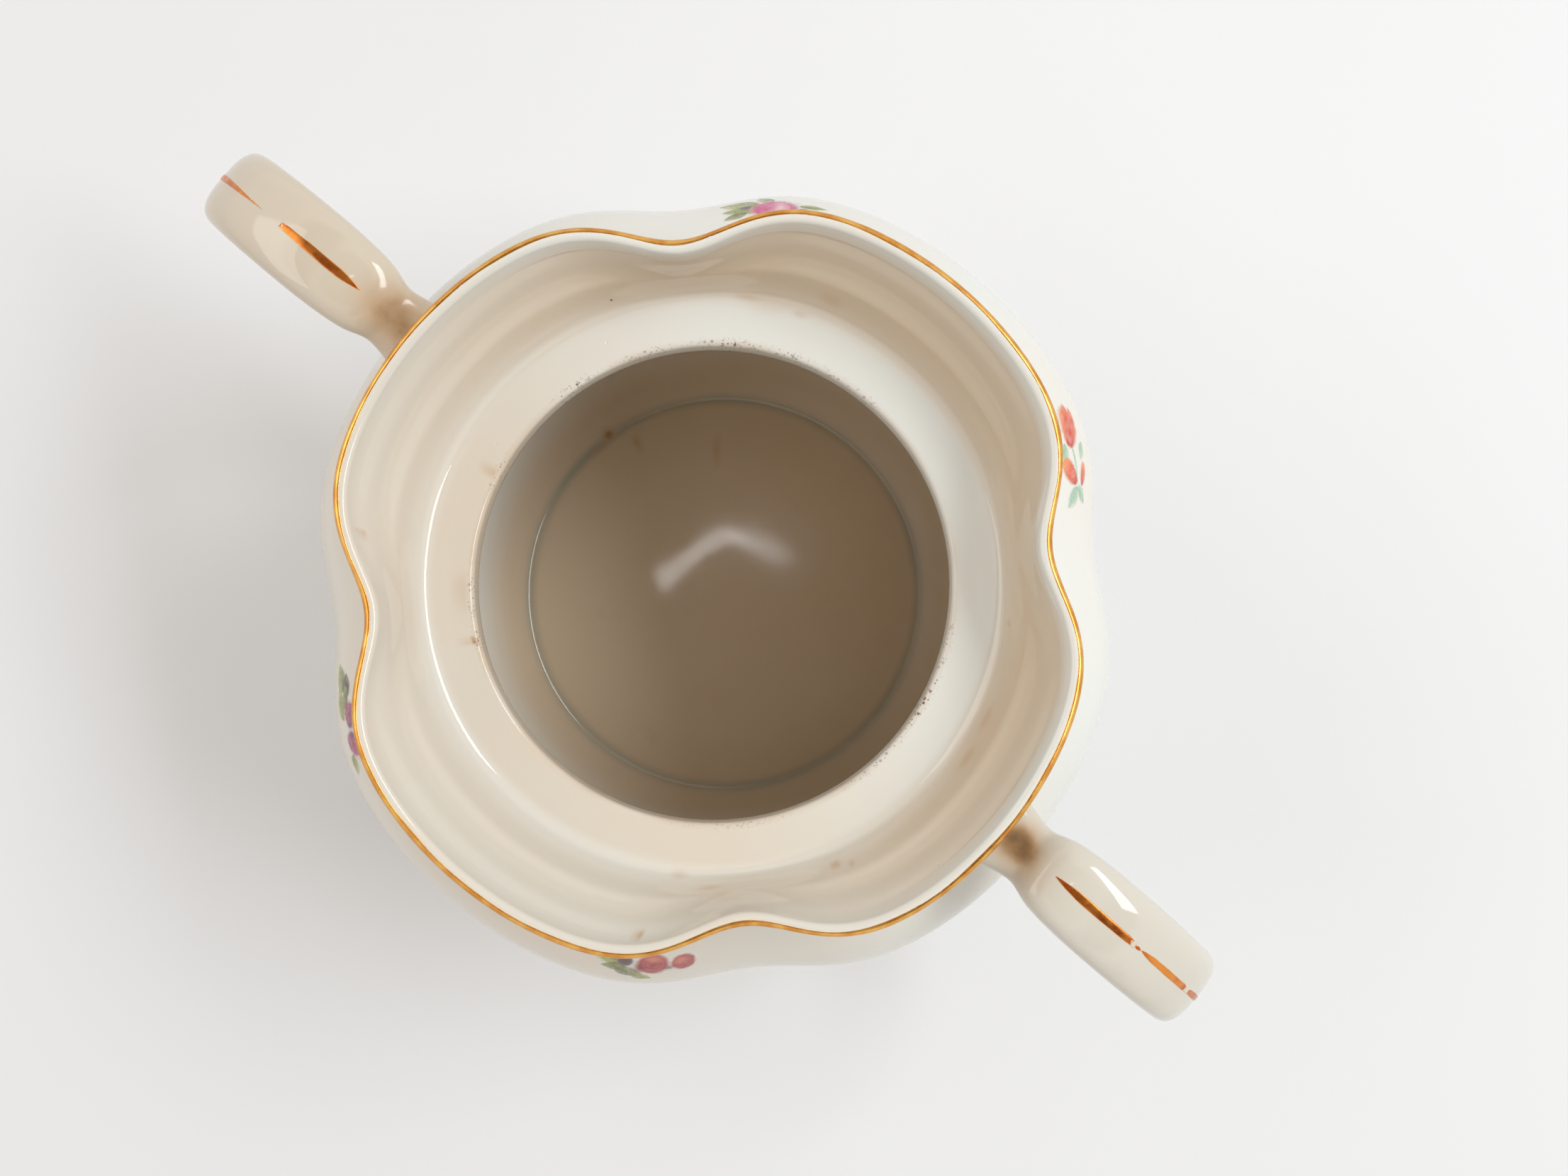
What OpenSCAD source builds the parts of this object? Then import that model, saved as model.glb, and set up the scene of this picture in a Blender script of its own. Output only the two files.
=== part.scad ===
// Two-handled porcelain sugar or cream pot: a four-lobed slip-cast body with an inner lid ledge,
// two separately cast strap handles stuck on with slip, burnished gold lines and flower transfers.
// Millimetres, +Z up, origin at the centre of the foot's standing face, handles along +X and -X.

/* [Body] */
// Height of the lip above the table
height = 88; // [86:0.5:90]
// Radius of the lip at the middle of a lobe
rim_r = 46.6; // [45.6:0.2:47.4]
// Widest radius of the belly at the middle of a lobe
belly_r = 59.6; // [58:0.2:61]
// Radius of the foot ring
foot_r = 39; // [38:0.25:40]
// Radius of the round hole inside the ledge that takes a lid's flange
hole_r = 31.2; // [30:0.1:32.5]
// Thickness of the lip
lip_t = 1.8; // [1.6:0.1:2.2]

/* [Lobes] */
// How far the four notches cut into the lip
rim_notch = 5.1; // [3:0.05:5.5]
// How far the same four grooves cut into the belly
belly_notch = 3.6; // [2:0.1:4]
// Angle over which a notch fades to about a third of its depth
notch_spread = 13.1; // [11:0.1:14]
// How far the lip dips at a notch
rim_dip = 1.2; // [0:0.1:1.5]

/* [Handles] */
// Farthest reach of a handle's centreline from the body's axis
handle_reach = 84.8; // [82:0.2:86]
// Full width of the handle strap
strap_w = 11.5; // [10.6:0.1:12]
// Full thickness of the handle strap
strap_t = 6.4; // [6:0.1:7]
// How far the right handle was stuck on off the middle of its lobe, in degrees
right_slew = -1.1; // [-1.5:0.1:1.5]
// Thickness of the slip layer between a handle and the body
slip_t = 0.3; // [0.2:0.05:0.5]

/* [Decoration] */
// Thickness of the gold film
gold_t = 0.12; // [0.1:0.02:0.2]
// Thickness of the transfer enamel
enamel_t = 0.12; // [0.1:0.02:0.2]

/* [Hidden] */

PORCELAIN = [0.93, 0.92, 0.89];
SLIP = [0.88, 0.87, 0.83];
GOLD = [0.83, 0.60, 0.22];

angle_steps = 72;             // facets round the body
notch_at = 45;                // a groove lies halfway between handle and broad side
film_gap = 0.03;              // keeps a thin film from sharing the glaze's own surface
lip_round = lip_t / 2;
foot_in = foot_r - 3.6;       // inside radius of the foot ring
neck_z = height - 11.4;
belly_z = height - 38;

// ---- curves -------------------------------------------------------------------------------------

// One point of a Catmull-Rom curve through p1 and p2, with t from 0 to 1.
function curve_point(p0, p1, p2, p3, t) =
    0.5 * (2 * p1 + (p2 - p0) * t + (2 * p0 - 5 * p1 + 4 * p2 - p3) * t * t
        + (3 * p1 - p0 - 3 * p2 + p3) * t * t * t);

// Position s along the curve through keys, where s counts keys.
function along(keys, s) =
    let (last = len(keys) - 1, i = min(floor(s), last - 1))
    curve_point(keys[max(i - 1, 0)], keys[i], keys[i + 1], keys[min(i + 2, last)], s - i);

// The curve through keys, with n steps between each two.
function smooth(keys, n) = [for (k = [0 : n * (len(keys) - 1)]) along(keys, k / n)];

// 1 in a groove's bottom and 0 on a lobe.
function notch(a) =
    let (period = 90, d = a - notch_at - period * round((a - notch_at) / period))
    exp(-pow(d / notch_spread, 2));

// ---- body profile: [radius on a lobe, height, groove depth, groove dip] ---------------------------

foot_keys = [
    [foot_in, 2.6, 0, 0], [foot_in + 0.7, 0, 0, 0], [foot_r - 0.9, 0, 0, 0],
    [foot_r, 0.9, 0, 0], [foot_r - 0.3, 3.4, 0, 0]
];
outer_keys = [
    [foot_r - 0.1, 5, 0, 0],
    [foot_r + 3.8, 10.2, 0.6, 0],
    [foot_r + 9.4, 18.8, 1.5, 0],
    [belly_r - 5.8, 29, 0.7 * belly_notch, 0],
    [belly_r - 1.8, 39.5, 0.9 * belly_notch, 0],
    [belly_r, belly_z, belly_notch, 0],
    [belly_r - 0.8, belly_z + 7.4, 1.04 * belly_notch, 0],
    [belly_r - 3.7, belly_z + 13, belly_notch, 0],
    [belly_r - 8.5, belly_z + 18, 0.85 * belly_notch, 0],
    [belly_r - 13.6, belly_z + 21.7, 0.6 * belly_notch, 0],
    [rim_r - 4.1, neck_z - 2.6, 1.5, 0.1],
    [rim_r - 5.3, neck_z, 1.4, 0.2],
    [rim_r - 4.8, neck_z + 3, 0.4 * rim_notch, 0.5 * rim_dip],
    [rim_r - 3.1, neck_z + 6.6, 0.7 * rim_notch, 0.8 * rim_dip],
    [rim_r - 0.8, neck_z + 9.6, 0.94 * rim_notch, rim_dip]
];
lip_keys = [
    for (t = [15 : 30 : 165])
        [rim_r - lip_round + lip_round * cos(t), height - lip_round + lip_round * sin(t), rim_notch, rim_dip]
];
funnel_keys = [
    [rim_r - 2.5, height - 2.2, 0.92 * rim_notch, rim_dip],
    [rim_r - 4.2, height - 5, 0.68 * rim_notch, 0.8 * rim_dip],
    [rim_r - 6, height - 7.4, 0.42 * rim_notch, 0.5 * rim_dip],
    [rim_r - 6.8, height - 8.7, 0.3 * rim_notch, 0.3 * rim_dip],
    [rim_r - 8, height - 10.8, 0.14 * rim_notch, 0.1 * rim_dip],
    [rim_r - 9.4, height - 12.5, 0, 0]
];
ledge_keys = [
    [rim_r - 12.2, height - 13.4, 0, 0], [hole_r - 2, height - 14.1, 0, 0], [hole_r - 2, height - 17.2, 0, 0],
    [hole_r + 1.6, height - 17.6, 0, 0]
];
cavity_keys = [
    [hole_r + 6, height - 18.6, 0.3, 0],
    [belly_r - 16.4, height - 21.2, 0.35 * belly_notch, 0],
    [belly_r - 10.6, height - 25.2, 0.75 * belly_notch, 0],
    [belly_r - 6, height - 30.4, belly_notch, 0],
    [belly_r - 3.5, belly_z + 1, belly_notch, 0],
    [belly_r - 4.9, belly_z - 9, 0.85 * belly_notch, 0],
    [belly_r - 9, belly_z - 20, 0.6 * belly_notch, 0],
    [foot_r + 6.3, 19.8, 1, 0],
    [foot_r + 1.6, 12.4, 0.4, 0],
    [foot_r - 1.6, 9, 0, 0],
    [foot_r - 2.8, 8, 0, 0],
    [foot_r - 4.4, 8.05, 0, 0]
];

outer_curve = smooth(outer_keys, 2);
wall_loop = concat(foot_keys, outer_curve, lip_keys, smooth(funnel_keys, 1), ledge_keys, smooth(cavity_keys, 1));

// A point of the wall's surface from a profile row, an angle, and how far it is pushed outwards.
function wall_point(row, a, grow = 0) =
    let (r = row[0] - row[2] * notch(a) + grow)
    [r * cos(a), r * sin(a), row[1] - row[3] * notch(a)];

// ---- solids from grids of points -------------------------------------------------------------------

// Triangles of a grid of rows and cols whose columns close on themselves.
function ring_faces(rows, cols) = [
    for (j = [0 : rows - 2], i = [0 : cols - 1])
        let (k = (i + 1) % cols, a = j * cols + i, b = j * cols + k, c = a + cols, d = b + cols)
        each [[a, c, b], [b, c, d]]
];

// Triangles of a grid of rows and cols whose rows and columns both close on themselves.
function torus_faces(rows, cols) = [
    for (j = [0 : rows - 1], i = [0 : cols - 1])
        let (k = (i + 1) % cols, m = (j + 1) % rows,
            a = j * cols + i, b = j * cols + k, c = m * cols + i, d = m * cols + k)
        each [[a, c, b], [b, c, d]]
];

// The whole wall, closed by a pole under the base and another on the floor.
module wall(under, floor) {
    rings = [for (row = wall_loop, i = [0 : angle_steps - 1]) wall_point(row, i * 360 / angle_steps)];
    n = len(rings);
    last = n - angle_steps;
    polyhedron(
        points = concat(rings, [[0, 0, under], [0, 0, floor]]),
        faces = concat(
            ring_faces(len(wall_loop), angle_steps),
            [for (i = [0 : angle_steps - 1]) [n, i, (i + 1) % angle_steps]],
            [for (i = [0 : angle_steps - 1]) [n + 1, last + (i + 1) % angle_steps, last + i]]
        ),
        convexity = 8
    );
}

// The wedge of space inside the outer surface that faces a handle, between two rows of outer_curve,
// with its curved side pushed outwards by grow.
module body_wedge(span, grow = 0) {
    rows = [for (j = [span[0] : span[1]]) outer_curve[j]];
    spread = 5 * 360 / angle_steps;
    angles = [-spread : 360 / angle_steps : spread];
    n = 1 + len([for (a = angles) a]);
    last = (len(rows) - 1) * n;
    polyhedron(
        points = [for (row = rows) each concat([[0, 0, row[1]]], [for (a = angles) wall_point(row, a, grow)])],
        faces = concat(
            ring_faces(len(rows), n),
            [for (i = [1 : n - 2]) [0, i, i + 1]],
            [for (i = [1 : n - 2]) [last, last + i + 1, last + i]]
        ),
        convexity = 4
    );
}

module bowl_body() {
    color(PORCELAIN)
    difference() {
        wall(under = 3, floor = 7.5);
        translate([0, 0, height - 20]) cylinder(h = 10, r = hole_r, $fn = 128);
    }
}

// ---- handles ------------------------------------------------------------------------------------

// Centreline of the right handle: [x, z, half width, half thickness].
strap_a = strap_w / 2;
strap_b = strap_t / 2;
handle_keys = [
    [36.5, neck_z - 2.6, strap_a + 0.6, strap_b + 0.1],
    [42.5, neck_z - 2.4, strap_a + 0.5, strap_b - 0.1],
    [48, neck_z - 1.7, strap_a - 0.2, strap_b - 0.35],
    [53.6, neck_z - 0.2, strap_a - 1.5, strap_b - 0.3],
    [57.2, neck_z + 2, strap_a - 0.5, strap_b + 0.2],
    [61.8, neck_z + 2.9, strap_a - 0.1, strap_b + 0.1],
    [68.5, neck_z + 2, strap_a, strap_b],
    [76, neck_z - 1.3, strap_a, strap_b],
    [82, neck_z - 7.2, strap_a, strap_b - 0.1],
    [handle_reach, neck_z - 15, strap_a - 0.1, strap_b - 0.15],
    [handle_reach - 1.2, neck_z - 23.5, strap_a - 0.3, strap_b - 0.2],
    [79, neck_z - 31.5, strap_a - 0.5, strap_b - 0.25],
    [72.3, neck_z - 38.2, strap_a - 0.7, strap_b - 0.3],
    [64.5, neck_z - 43, strap_a - 0.8, strap_b - 0.3],
    [56.5, neck_z - 46, strap_a - 0.5, strap_b - 0.2],
    [48, neck_z - 48, strap_a, strap_b]
];
section_steps = 20;
section_power = 2.5;          // 2 is an ellipse, and more is squarer

// A point of a superellipse with half axes a and b.
function section_point(a, b, t) = [
    a * sign(cos(t)) * pow(abs(cos(t)), 2 / section_power),
    b * sign(sin(t)) * pow(abs(sin(t)), 2 / section_power)
];

// Direction of the handle's centreline at s, as [x, z].
function handle_heading(s) =
    let (d = along(handle_keys, min(s + 0.02, len(handle_keys) - 1)) - along(handle_keys, max(s - 0.02, 0)))
    [d[0], d[1]] / norm([d[0], d[1]]);

// A point beside the centreline at s: y across the strap, h outwards from it.
function handle_point(s, y, h) =
    let (p = along(handle_keys, s), d = handle_heading(s))
    [p[0] - d[1] * h, y, p[1] + d[0] * h];

// A closed strap from s = first to s = last, made wider by flare(s).
module strap(first, last, count, flare_at = -1, flare = 0, flare_len = 1) {
    stations = [for (k = [0 : count]) first + (last - first) * k / count];
    rings = [
        for (s = stations, i = [0 : section_steps - 1])
            let (p = along(handle_keys, s),
                reach = abs(s - flare_at) / flare_len,
                more = flare_at < 0 ? 0 : 0.12 + flare * pow(max(1 - reach, 0), 2),
                q = section_point(p[2] + more, p[3] + more, i * 360 / section_steps))
            handle_point(s, q[0], q[1])
    ];
    n = section_steps;
    polyhedron(
        points = rings,
        faces = concat(
            ring_faces(count + 1, n),
            [[for (i = [0 : n - 1]) i]],
            [[for (i = [n - 1 : -1 : 0]) count * n + i]]
        ),
        convexity = 6
    );
}

// Rows of the outer curve that face the two ends of a handle.
upper_rows = [14, 24];
lower_rows = [2, 10];

// Puts a right-hand piece on the chosen side of the body.
module on_side(side) {
    rotate([0, 0, side == "left" ? 180 : 0]) children();
}

// Turns a handle's own shapes to where that handle was stuck on.
module slewed(side) {
    rotate([0, 0, side == "left" ? 0 : right_slew]) children();
}

module handle(side) {
    color(PORCELAIN)
    on_side(side) difference() {
        slewed(side) strap(0, len(handle_keys) - 1, 45);
        body_wedge(upper_rows, slip_t);
        body_wedge(lower_rows, slip_t);
    }
}

// The slip that fills the joint between handle and body, with its small fillet round the strap.
module upper_slip(side) {
    color(SLIP)
    on_side(side) difference() {
        slewed(side) strap(0.4, 2, 6, 0.8, 1.6, 1.2);
        body_wedge(upper_rows);
        difference() {
            slewed(side) strap(0, 5, 15);
            body_wedge(upper_rows, slip_t);
        }
    }
}

module lower_slip(side) {
    color(SLIP)
    on_side(side) difference() {
        slewed(side) strap(13.4, 14.7, 6, 14.5, 2, 1.1);
        body_wedge(lower_rows);
        difference() {
            slewed(side) strap(10, 15, 15);
            body_wedge(lower_rows, slip_t);
        }
    }
}

// ---- gilding --------------------------------------------------------------------------------------

// A thin band of gold over the outer half of the rounded lip.
module lip_gilding() {
    first = -5;
    last = 85;
    steps = 3;
    arc = [for (k = [0 : steps]) first + (last - first) * k / steps];
    function row(t, r) =
        [rim_r - lip_round + r * cos(t), height - lip_round + r * sin(t), rim_notch, rim_dip];
    rows = concat(
        [for (t = arc) row(t, lip_round + film_gap)],
        [for (k = [steps : -1 : 0]) row(arc[k], lip_round + film_gap + gold_t)]
    );
    color(GOLD)
    polyhedron(
        points = [for (r = rows, i = [0 : angle_steps - 1]) wall_point(r, i * 360 / angle_steps)],
        faces = [for (f = torus_faces(len(rows), angle_steps)) [f[0], f[2], f[1]]],
        convexity = 8
    );
}

// One pointed brush stroke of gold along the strap's back, from s = first to s = last.
module gold_stroke(first, last, width) {
    count = 16;
    across = [-1, -0.5, 0, 0.5, 1];
    n = len(across);
    function half(k) = max(0.08, width / 2 * pow(sin(180 * k / count), 0.6));
    function skin(s, y) =
        let (p = along(handle_keys, s))
        p[3] * pow(1 - pow(min(abs(y) / p[2], 1), section_power), 1 / section_power);
    function station(k) = first + (last - first) * k / count;
    rows = [
        for (k = [0 : count])
            let (s = station(k))
            concat(
                [for (c = across) handle_point(s, c * half(k), skin(s, c * half(k)) + film_gap + gold_t)],
                [for (i = [n - 1 : -1 : 0])
                    handle_point(s, across[i] * half(k), skin(s, across[i] * half(k)) + film_gap)]
            )
    ];
    m = 2 * n;
    polyhedron(
        points = [for (r = rows) each r],
        faces = concat(
            [for (f = ring_faces(count + 1, m)) [f[0], f[2], f[1]]],
            [for (i = [0 : n - 2]) each [[i, m - 1 - i, m - 2 - i], [i, m - 2 - i, i + 1]]],
            [for (i = [0 : n - 2], e = [count * m]) each
                [[e + i, e + m - 2 - i, e + m - 1 - i], [e + i, e + i + 1, e + m - 2 - i]]]
        ),
        convexity = 6
    );
}

module handle_gilding(side) {
    color(GOLD)
    on_side(side) slewed(side) {
        gold_stroke(4.05, 5.95, 1.4);
        gold_stroke(6.2, 10.2, 0.9);
    }
}

// ---- flower transfers -------------------------------------------------------------------------------

// A spot on the body's outer surface: a in degrees round it, s along outer_keys.
function skin_point(a, s, grow = 0) = wall_point(along(outer_keys, s), a, grow);

// Millimetres per unit of s on the outer surface.
function skin_rate(s) = norm(
    let (d = along(outer_keys, s + 0.05) - along(outer_keys, s - 0.05)) [d[0], d[1]]) / 0.1;

// Place of a transfer point that lies u to the right of and v above the transfer's middle.
function transfer_point(a, s, u, v, grow) =
    skin_point(a + u / along(outer_keys, s)[0] * 180 / PI, s + v / skin_rate(s), grow);

// Point at t degrees round the outline of a leaf, tulip, rose or round bud that is 2 long and 2 wide.
function outline(kind, t) =
    kind == "leaf" ? [cos(t), sin(t) * (0.55 + 0.45 * pow(sin(t / 2), 2)) * pow(abs(sin(t)), 0.25)]
    : kind == "tulip" ? [cos(t), sin(t)] * (cos(t) > 0.7 ? 0.93 + 0.11 * cos(12 * t) : 1)
    : kind == "rose" ? [cos(t), sin(t)] * (1 + 0.07 * cos(5 * t))
    : [cos(t), sin(t)];

// One enamel shape: kind, length and width in mm, turned by turn degrees, at u, v.
module enamel(a, s, kind, u, v, length, width, turn) {
    n = kind == "tulip" ? 24 : kind == "rose" ? 20 : 12;
    function place(p, grow) =
        let (x = p[0] * length / 2, y = p[1] * width / 2)
        transfer_point(a, s, u + x * cos(turn) - y * sin(turn), v + x * sin(turn) + y * cos(turn), grow);
    function sheet(grow) =
        concat([place([0, 0], grow)], [for (i = [0 : n - 1]) place(outline(kind, i * 360 / n), grow)]);
    m = n + 1;
    polyhedron(
        points = concat(sheet(film_gap + enamel_t), sheet(film_gap)),
        faces = [
            for (i = [0 : n - 1])
                let (p = 1 + i, q = 1 + (i + 1) % n)
                each [[0, q, p], [m, m + p, m + q], [p, q, m + p], [q, m + q, m + p]]
        ],
        convexity = 4
    );
}

module transfer(a, s, shapes) {
    for (e = shapes)
        color(e[6]) enamel(a, s, e[0], e[1], e[2], e[3], e[4], e[5]);
}

ORANGE = [0.88, 0.30, 0.12];
PINK = [0.85, 0.35, 0.55];
RED = [0.72, 0.20, 0.26];
VIOLET = [0.50, 0.28, 0.52];
LEAF = [0.38, 0.55, 0.30];
OLIVE = [0.55, 0.58, 0.30];
belly_s = 4.3;                // where the bouquets sit on the outer curve

// Each shape: kind, u, v, length, width, turn, colour.
tulip_spray = [
    ["tulip", 4, -0.3, 6.6, 4.6, -25, ORANGE],
    ["leaf", -1.4, 0.2, 3.6, 0.5, 185, LEAF],
    ["leaf", 0, -2.4, 2.3, 1.1, 143, LEAF],
    ["leaf", 0.3, 2.8, 2, 0.9, 165, LEAF],
    ["leaf", -2.4, 2.2, 4.6, 2.2, 41, ORANGE],
    ["leaf", -3.2, -1.8, 2.6, 0.9, -26, ORANGE],
    ["leaf", -6.2, 1.6, 4, 1.4, 131, LEAF],
    ["leaf", -6, -1, 2.9, 0.9, 214, LEAF]
];
pink_rose_spray = [
    ["rose", 0, 0.6, 6.4, 6, 0, PINK],
    ["leaf", 4.9, -2.9, 4.6, 2.4, -31, OLIVE],
    ["leaf", 5.2, 1.3, 3, 1.4, 15, LEAF],
    ["bud", 3.8, -0.3, 1.1, 1.1, 0, VIOLET],
    ["leaf", -5.4, -0.6, 3.2, 0.9, 187, LEAF],
    ["leaf", -4.5, 1.7, 2.2, 0.9, 150, LEAF]
];
violet_spray = [
    ["rose", 0.1, 1.8, 3.8, 3.2, 0, PINK],
    ["rose", 4.2, 0.7, 3.8, 3.2, 0, VIOLET],
    ["leaf", -5.2, -1.3, 3.6, 2, 200, LEAF],
    ["leaf", -4, 1.7, 2.8, 1.4, 175, OLIVE],
    ["leaf", -1.6, -1.5, 3.4, 1.4, 185, OLIVE],
    ["leaf", 6.7, -1.7, 2, 0.9, -30, OLIVE]
];
red_rose_spray = [
    ["rose", 0.2, 0.2, 4.5, 4.5, 0, RED],
    ["bud", 4.4, 0.1, 3.2, 3.6, 0, PINK],
    ["bud", -3.7, 0.9, 1.9, 1.8, 0, VIOLET],
    ["leaf", -6.4, 1.2, 3, 1.5, 155, OLIVE],
    ["leaf", -5.4, -1.2, 2, 1, 190, LEAF],
    ["leaf", -2.3, -3, 4.6, 1.5, -40, LEAF]
];
bouquet = [
    ["rose", 0, 0.6, 9, 8.4, 0, PINK],
    ["rose", 8, 2.6, 5.4, 5, 0, RED],
    ["rose", -7.6, -2, 5, 4.6, 0, VIOLET],
    ["leaf", -8, 4.4, 6.4, 3, 150, LEAF],
    ["leaf", 1, 8, 6, 2.8, 80, LEAF],
    ["leaf", 7.6, -3.4, 6, 2.8, -30, LEAF],
    ["leaf", -1.6, -7.2, 6.4, 2.6, 255, LEAF],
    ["leaf", -12.6, -4.6, 4, 2, 205, LEAF],
    ["leaf", 12.8, 5, 4, 1.8, 30, LEAF],
    ["leaf", 7.4, 8.6, 4.6, 2.2, 50, ORANGE]
];

// ---- the part -----------------------------------------------------------------------------------------

bowl_body();
handle("left");  // left_handle
handle("right");  // right_handle
upper_slip("left");  // left_handle_upper_slip
lower_slip("left");  // left_handle_lower_slip
upper_slip("right");  // right_handle_upper_slip
lower_slip("right");  // right_handle_lower_slip
lip_gilding();
handle_gilding("left");  // left_handle_gilding
handle_gilding("right");  // right_handle_gilding
transfer(60, 7.4, tulip_spray);  // tulip_transfer
transfer(121, 7.2, pink_rose_spray);  // pink_rose_transfer
transfer(239, 7.2, violet_spray);  // violet_transfer
transfer(300, 7.5, red_rose_spray);  // red_rose_transfer
transfer(270, belly_s, bouquet);  // front_bouquet_transfer
transfer(90, belly_s, bouquet);  // back_bouquet_transfer
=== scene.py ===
"""Two-handled porcelain sugar bowl: glazed body, stuck-on strap handles, gold lines and flower transfers.

Lengths inside the classes are millimetres in the CAD frame (+Z up, handles on +X and -X), and angles are
degrees round the body from +X. They become metres only where a mesh is made.
"""
import logging
import math
from dataclasses import dataclass
from enum import Enum
from typing import NamedTuple

import bpy
import numpy as np
from mathutils import Matrix, Vector


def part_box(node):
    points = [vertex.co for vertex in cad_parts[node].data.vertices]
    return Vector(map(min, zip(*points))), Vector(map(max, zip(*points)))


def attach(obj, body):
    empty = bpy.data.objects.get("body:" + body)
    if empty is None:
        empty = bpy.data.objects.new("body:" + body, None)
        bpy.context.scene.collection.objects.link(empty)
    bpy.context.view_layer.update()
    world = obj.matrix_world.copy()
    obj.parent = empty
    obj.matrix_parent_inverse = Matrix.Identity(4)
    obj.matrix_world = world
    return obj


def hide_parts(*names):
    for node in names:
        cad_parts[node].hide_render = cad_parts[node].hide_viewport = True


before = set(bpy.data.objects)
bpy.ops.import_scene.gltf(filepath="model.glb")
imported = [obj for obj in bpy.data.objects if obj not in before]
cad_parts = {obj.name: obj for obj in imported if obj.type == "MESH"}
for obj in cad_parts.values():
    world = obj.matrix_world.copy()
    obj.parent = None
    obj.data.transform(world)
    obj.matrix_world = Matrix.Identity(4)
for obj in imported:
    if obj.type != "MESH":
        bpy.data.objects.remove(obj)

LOG = logging.getLogger("sugar_bowl")
MM = 0.001
Array = np.ndarray
Rgb = tuple[float, float, float]


# ---- small mathematics ------------------------------------------------------------------------------


def spline(keys: Array, s: Array) -> Array:
    """Reads a Catmull-Rom curve through the rows of keys.

    Args:
        keys: One row per key, any number of columns.
        s: Positions counted in keys, any shape.

    Returns:
        The curve's rows at s, with the shape of s plus one axis for the columns.
    """
    s = np.clip(np.asarray(s, float), 0, len(keys) - 1)
    last = len(keys) - 1
    i = np.minimum(np.floor(s).astype(int), last - 1)
    t = (s - i)[..., None]
    p0, p1 = keys[np.maximum(i - 1, 0)], keys[i]
    p2, p3 = keys[i + 1], keys[np.minimum(i + 2, last)]
    return 0.5 * (2 * p1 + (p2 - p0) * t + (2 * p0 - 5 * p1 + 4 * p2 - p3) * t**2
                  + (3 * p1 - p0 - 3 * p2 + p3) * t**3)


def smoothstep(low: float | Array, high: float | Array, x: Array) -> Array:
    """Rises smoothly from 0 at low to 1 at high; low may be the larger one."""
    t = np.clip((np.asarray(x, float) - low) / (high - low), 0, 1)
    return t * t * (3 - 2 * t)


def bump(x: Array, middle: float | Array, width: float) -> Array:
    """A bell of height 1 round middle that has fallen to about a third at middle plus width."""
    return np.exp(-((np.asarray(x, float) - middle) / width) ** 2)


def blend(share: float | Array, low: float | Array, high: float | Array) -> Array:
    """Runs straight from low where share is 0 to high where it is 1."""
    return low + (high - low) * share


def ripple(x: Array, y: Array, seed: int, waves: int = 9, finest: float = 1.0) -> Array:
    """Soft seeded noise: a sum of sine waves of random direction, between about -1 and 1.

    Args:
        x: First coordinate, in millimetres.
        y: Second coordinate, in millimetres.
        seed: Chooses the pattern.
        waves: How many sine waves are summed.
        finest: Shortest wavelength, in millimetres.

    Returns:
        The noise at every point.
    """
    rng = np.random.default_rng(seed)
    total = np.zeros(np.broadcast(x, y).shape)
    for _ in range(waves):
        turn, phase = rng.uniform(0, 2 * math.pi, 2)
        length = finest * rng.uniform(1, 5)
        total += np.sin(2 * math.pi * (x * math.cos(turn) + y * math.sin(turn)) / length + phase)
    return total / math.sqrt(waves) / 1.4


def around(angle: Array, seed: int, highest: int) -> Array:
    """Soft seeded noise round a circle, between about -1 and 1, with no seam.

    It sums cosines of 2, 3 and up to highest whole waves, each of random strength and phase.

    Args:
        angle: Degrees round the circle.
        seed: Chooses the pattern.
        highest: How many waves the finest cosine has.

    Returns:
        The noise at every angle.
    """
    rng = np.random.default_rng(seed)
    total = np.zeros(np.shape(angle))
    for order in range(2, highest + 1):
        total = total + np.cos(np.radians(order * angle) + rng.uniform(0, 2 * math.pi)) * rng.uniform(0.4, 1)
    return total / math.sqrt(highest - 1)


def linear(red: int, green: int, blue: int) -> Rgb:
    """Turns a display colour into the linear colour that shaders take.

    Args:
        red: From 0 to 255.
        green: From 0 to 255.
        blue: From 0 to 255.

    Returns:
        The three linear values, from 0 to 1.
    """
    def one(v: int) -> float:
        """Takes the display curve off one value."""
        c = v / 255
        return c / 12.92 if c <= 0.04045 else ((c + 0.055) / 1.055) ** 2.4
    return one(red), one(green), one(blue)


# ---- meshes -------------------------------------------------------------------------------------------


def grid_quads(rows: int, cols: int, wrap_rows: bool = False, wrap_cols: bool = True) -> Array:
    """Lists the quads of a grid whose points run row by row.

    Args:
        rows: How many rows of points.
        cols: How many points in a row.
        wrap_rows: Whether the last row joins the first.
        wrap_cols: Whether each row closes on itself.

    Returns:
        One row of four point numbers per quad, anticlockwise where rows rise and columns turn left.
    """
    j = np.arange(rows if wrap_rows else rows - 1)[:, None]
    i = np.arange(cols if wrap_cols else cols - 1)[None, :]
    k, m = (i + 1) % cols, (j + 1) % rows
    return np.stack([j * cols + i, j * cols + k, m * cols + k, m * cols + i], -1).reshape(-1, 4)


def fan(centre: int, first: int, cols: int, flip: bool) -> Array:
    """Lists the triangles, written as quads with a doubled corner, that close a ring on a centre point.

    Args:
        centre: The centre point's number.
        first: The number of the ring's first point.
        cols: How many points the ring has.
        flip: Whether the faces look down rather than up.

    Returns:
        One row of four point numbers per triangle.
    """
    i = np.arange(cols)
    k = (i + 1) % cols
    pair = (first + k, first + i) if flip else (first + i, first + k)
    middle = np.full(cols, centre)
    return np.stack([middle, pair[0], pair[1], middle], -1)


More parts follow.
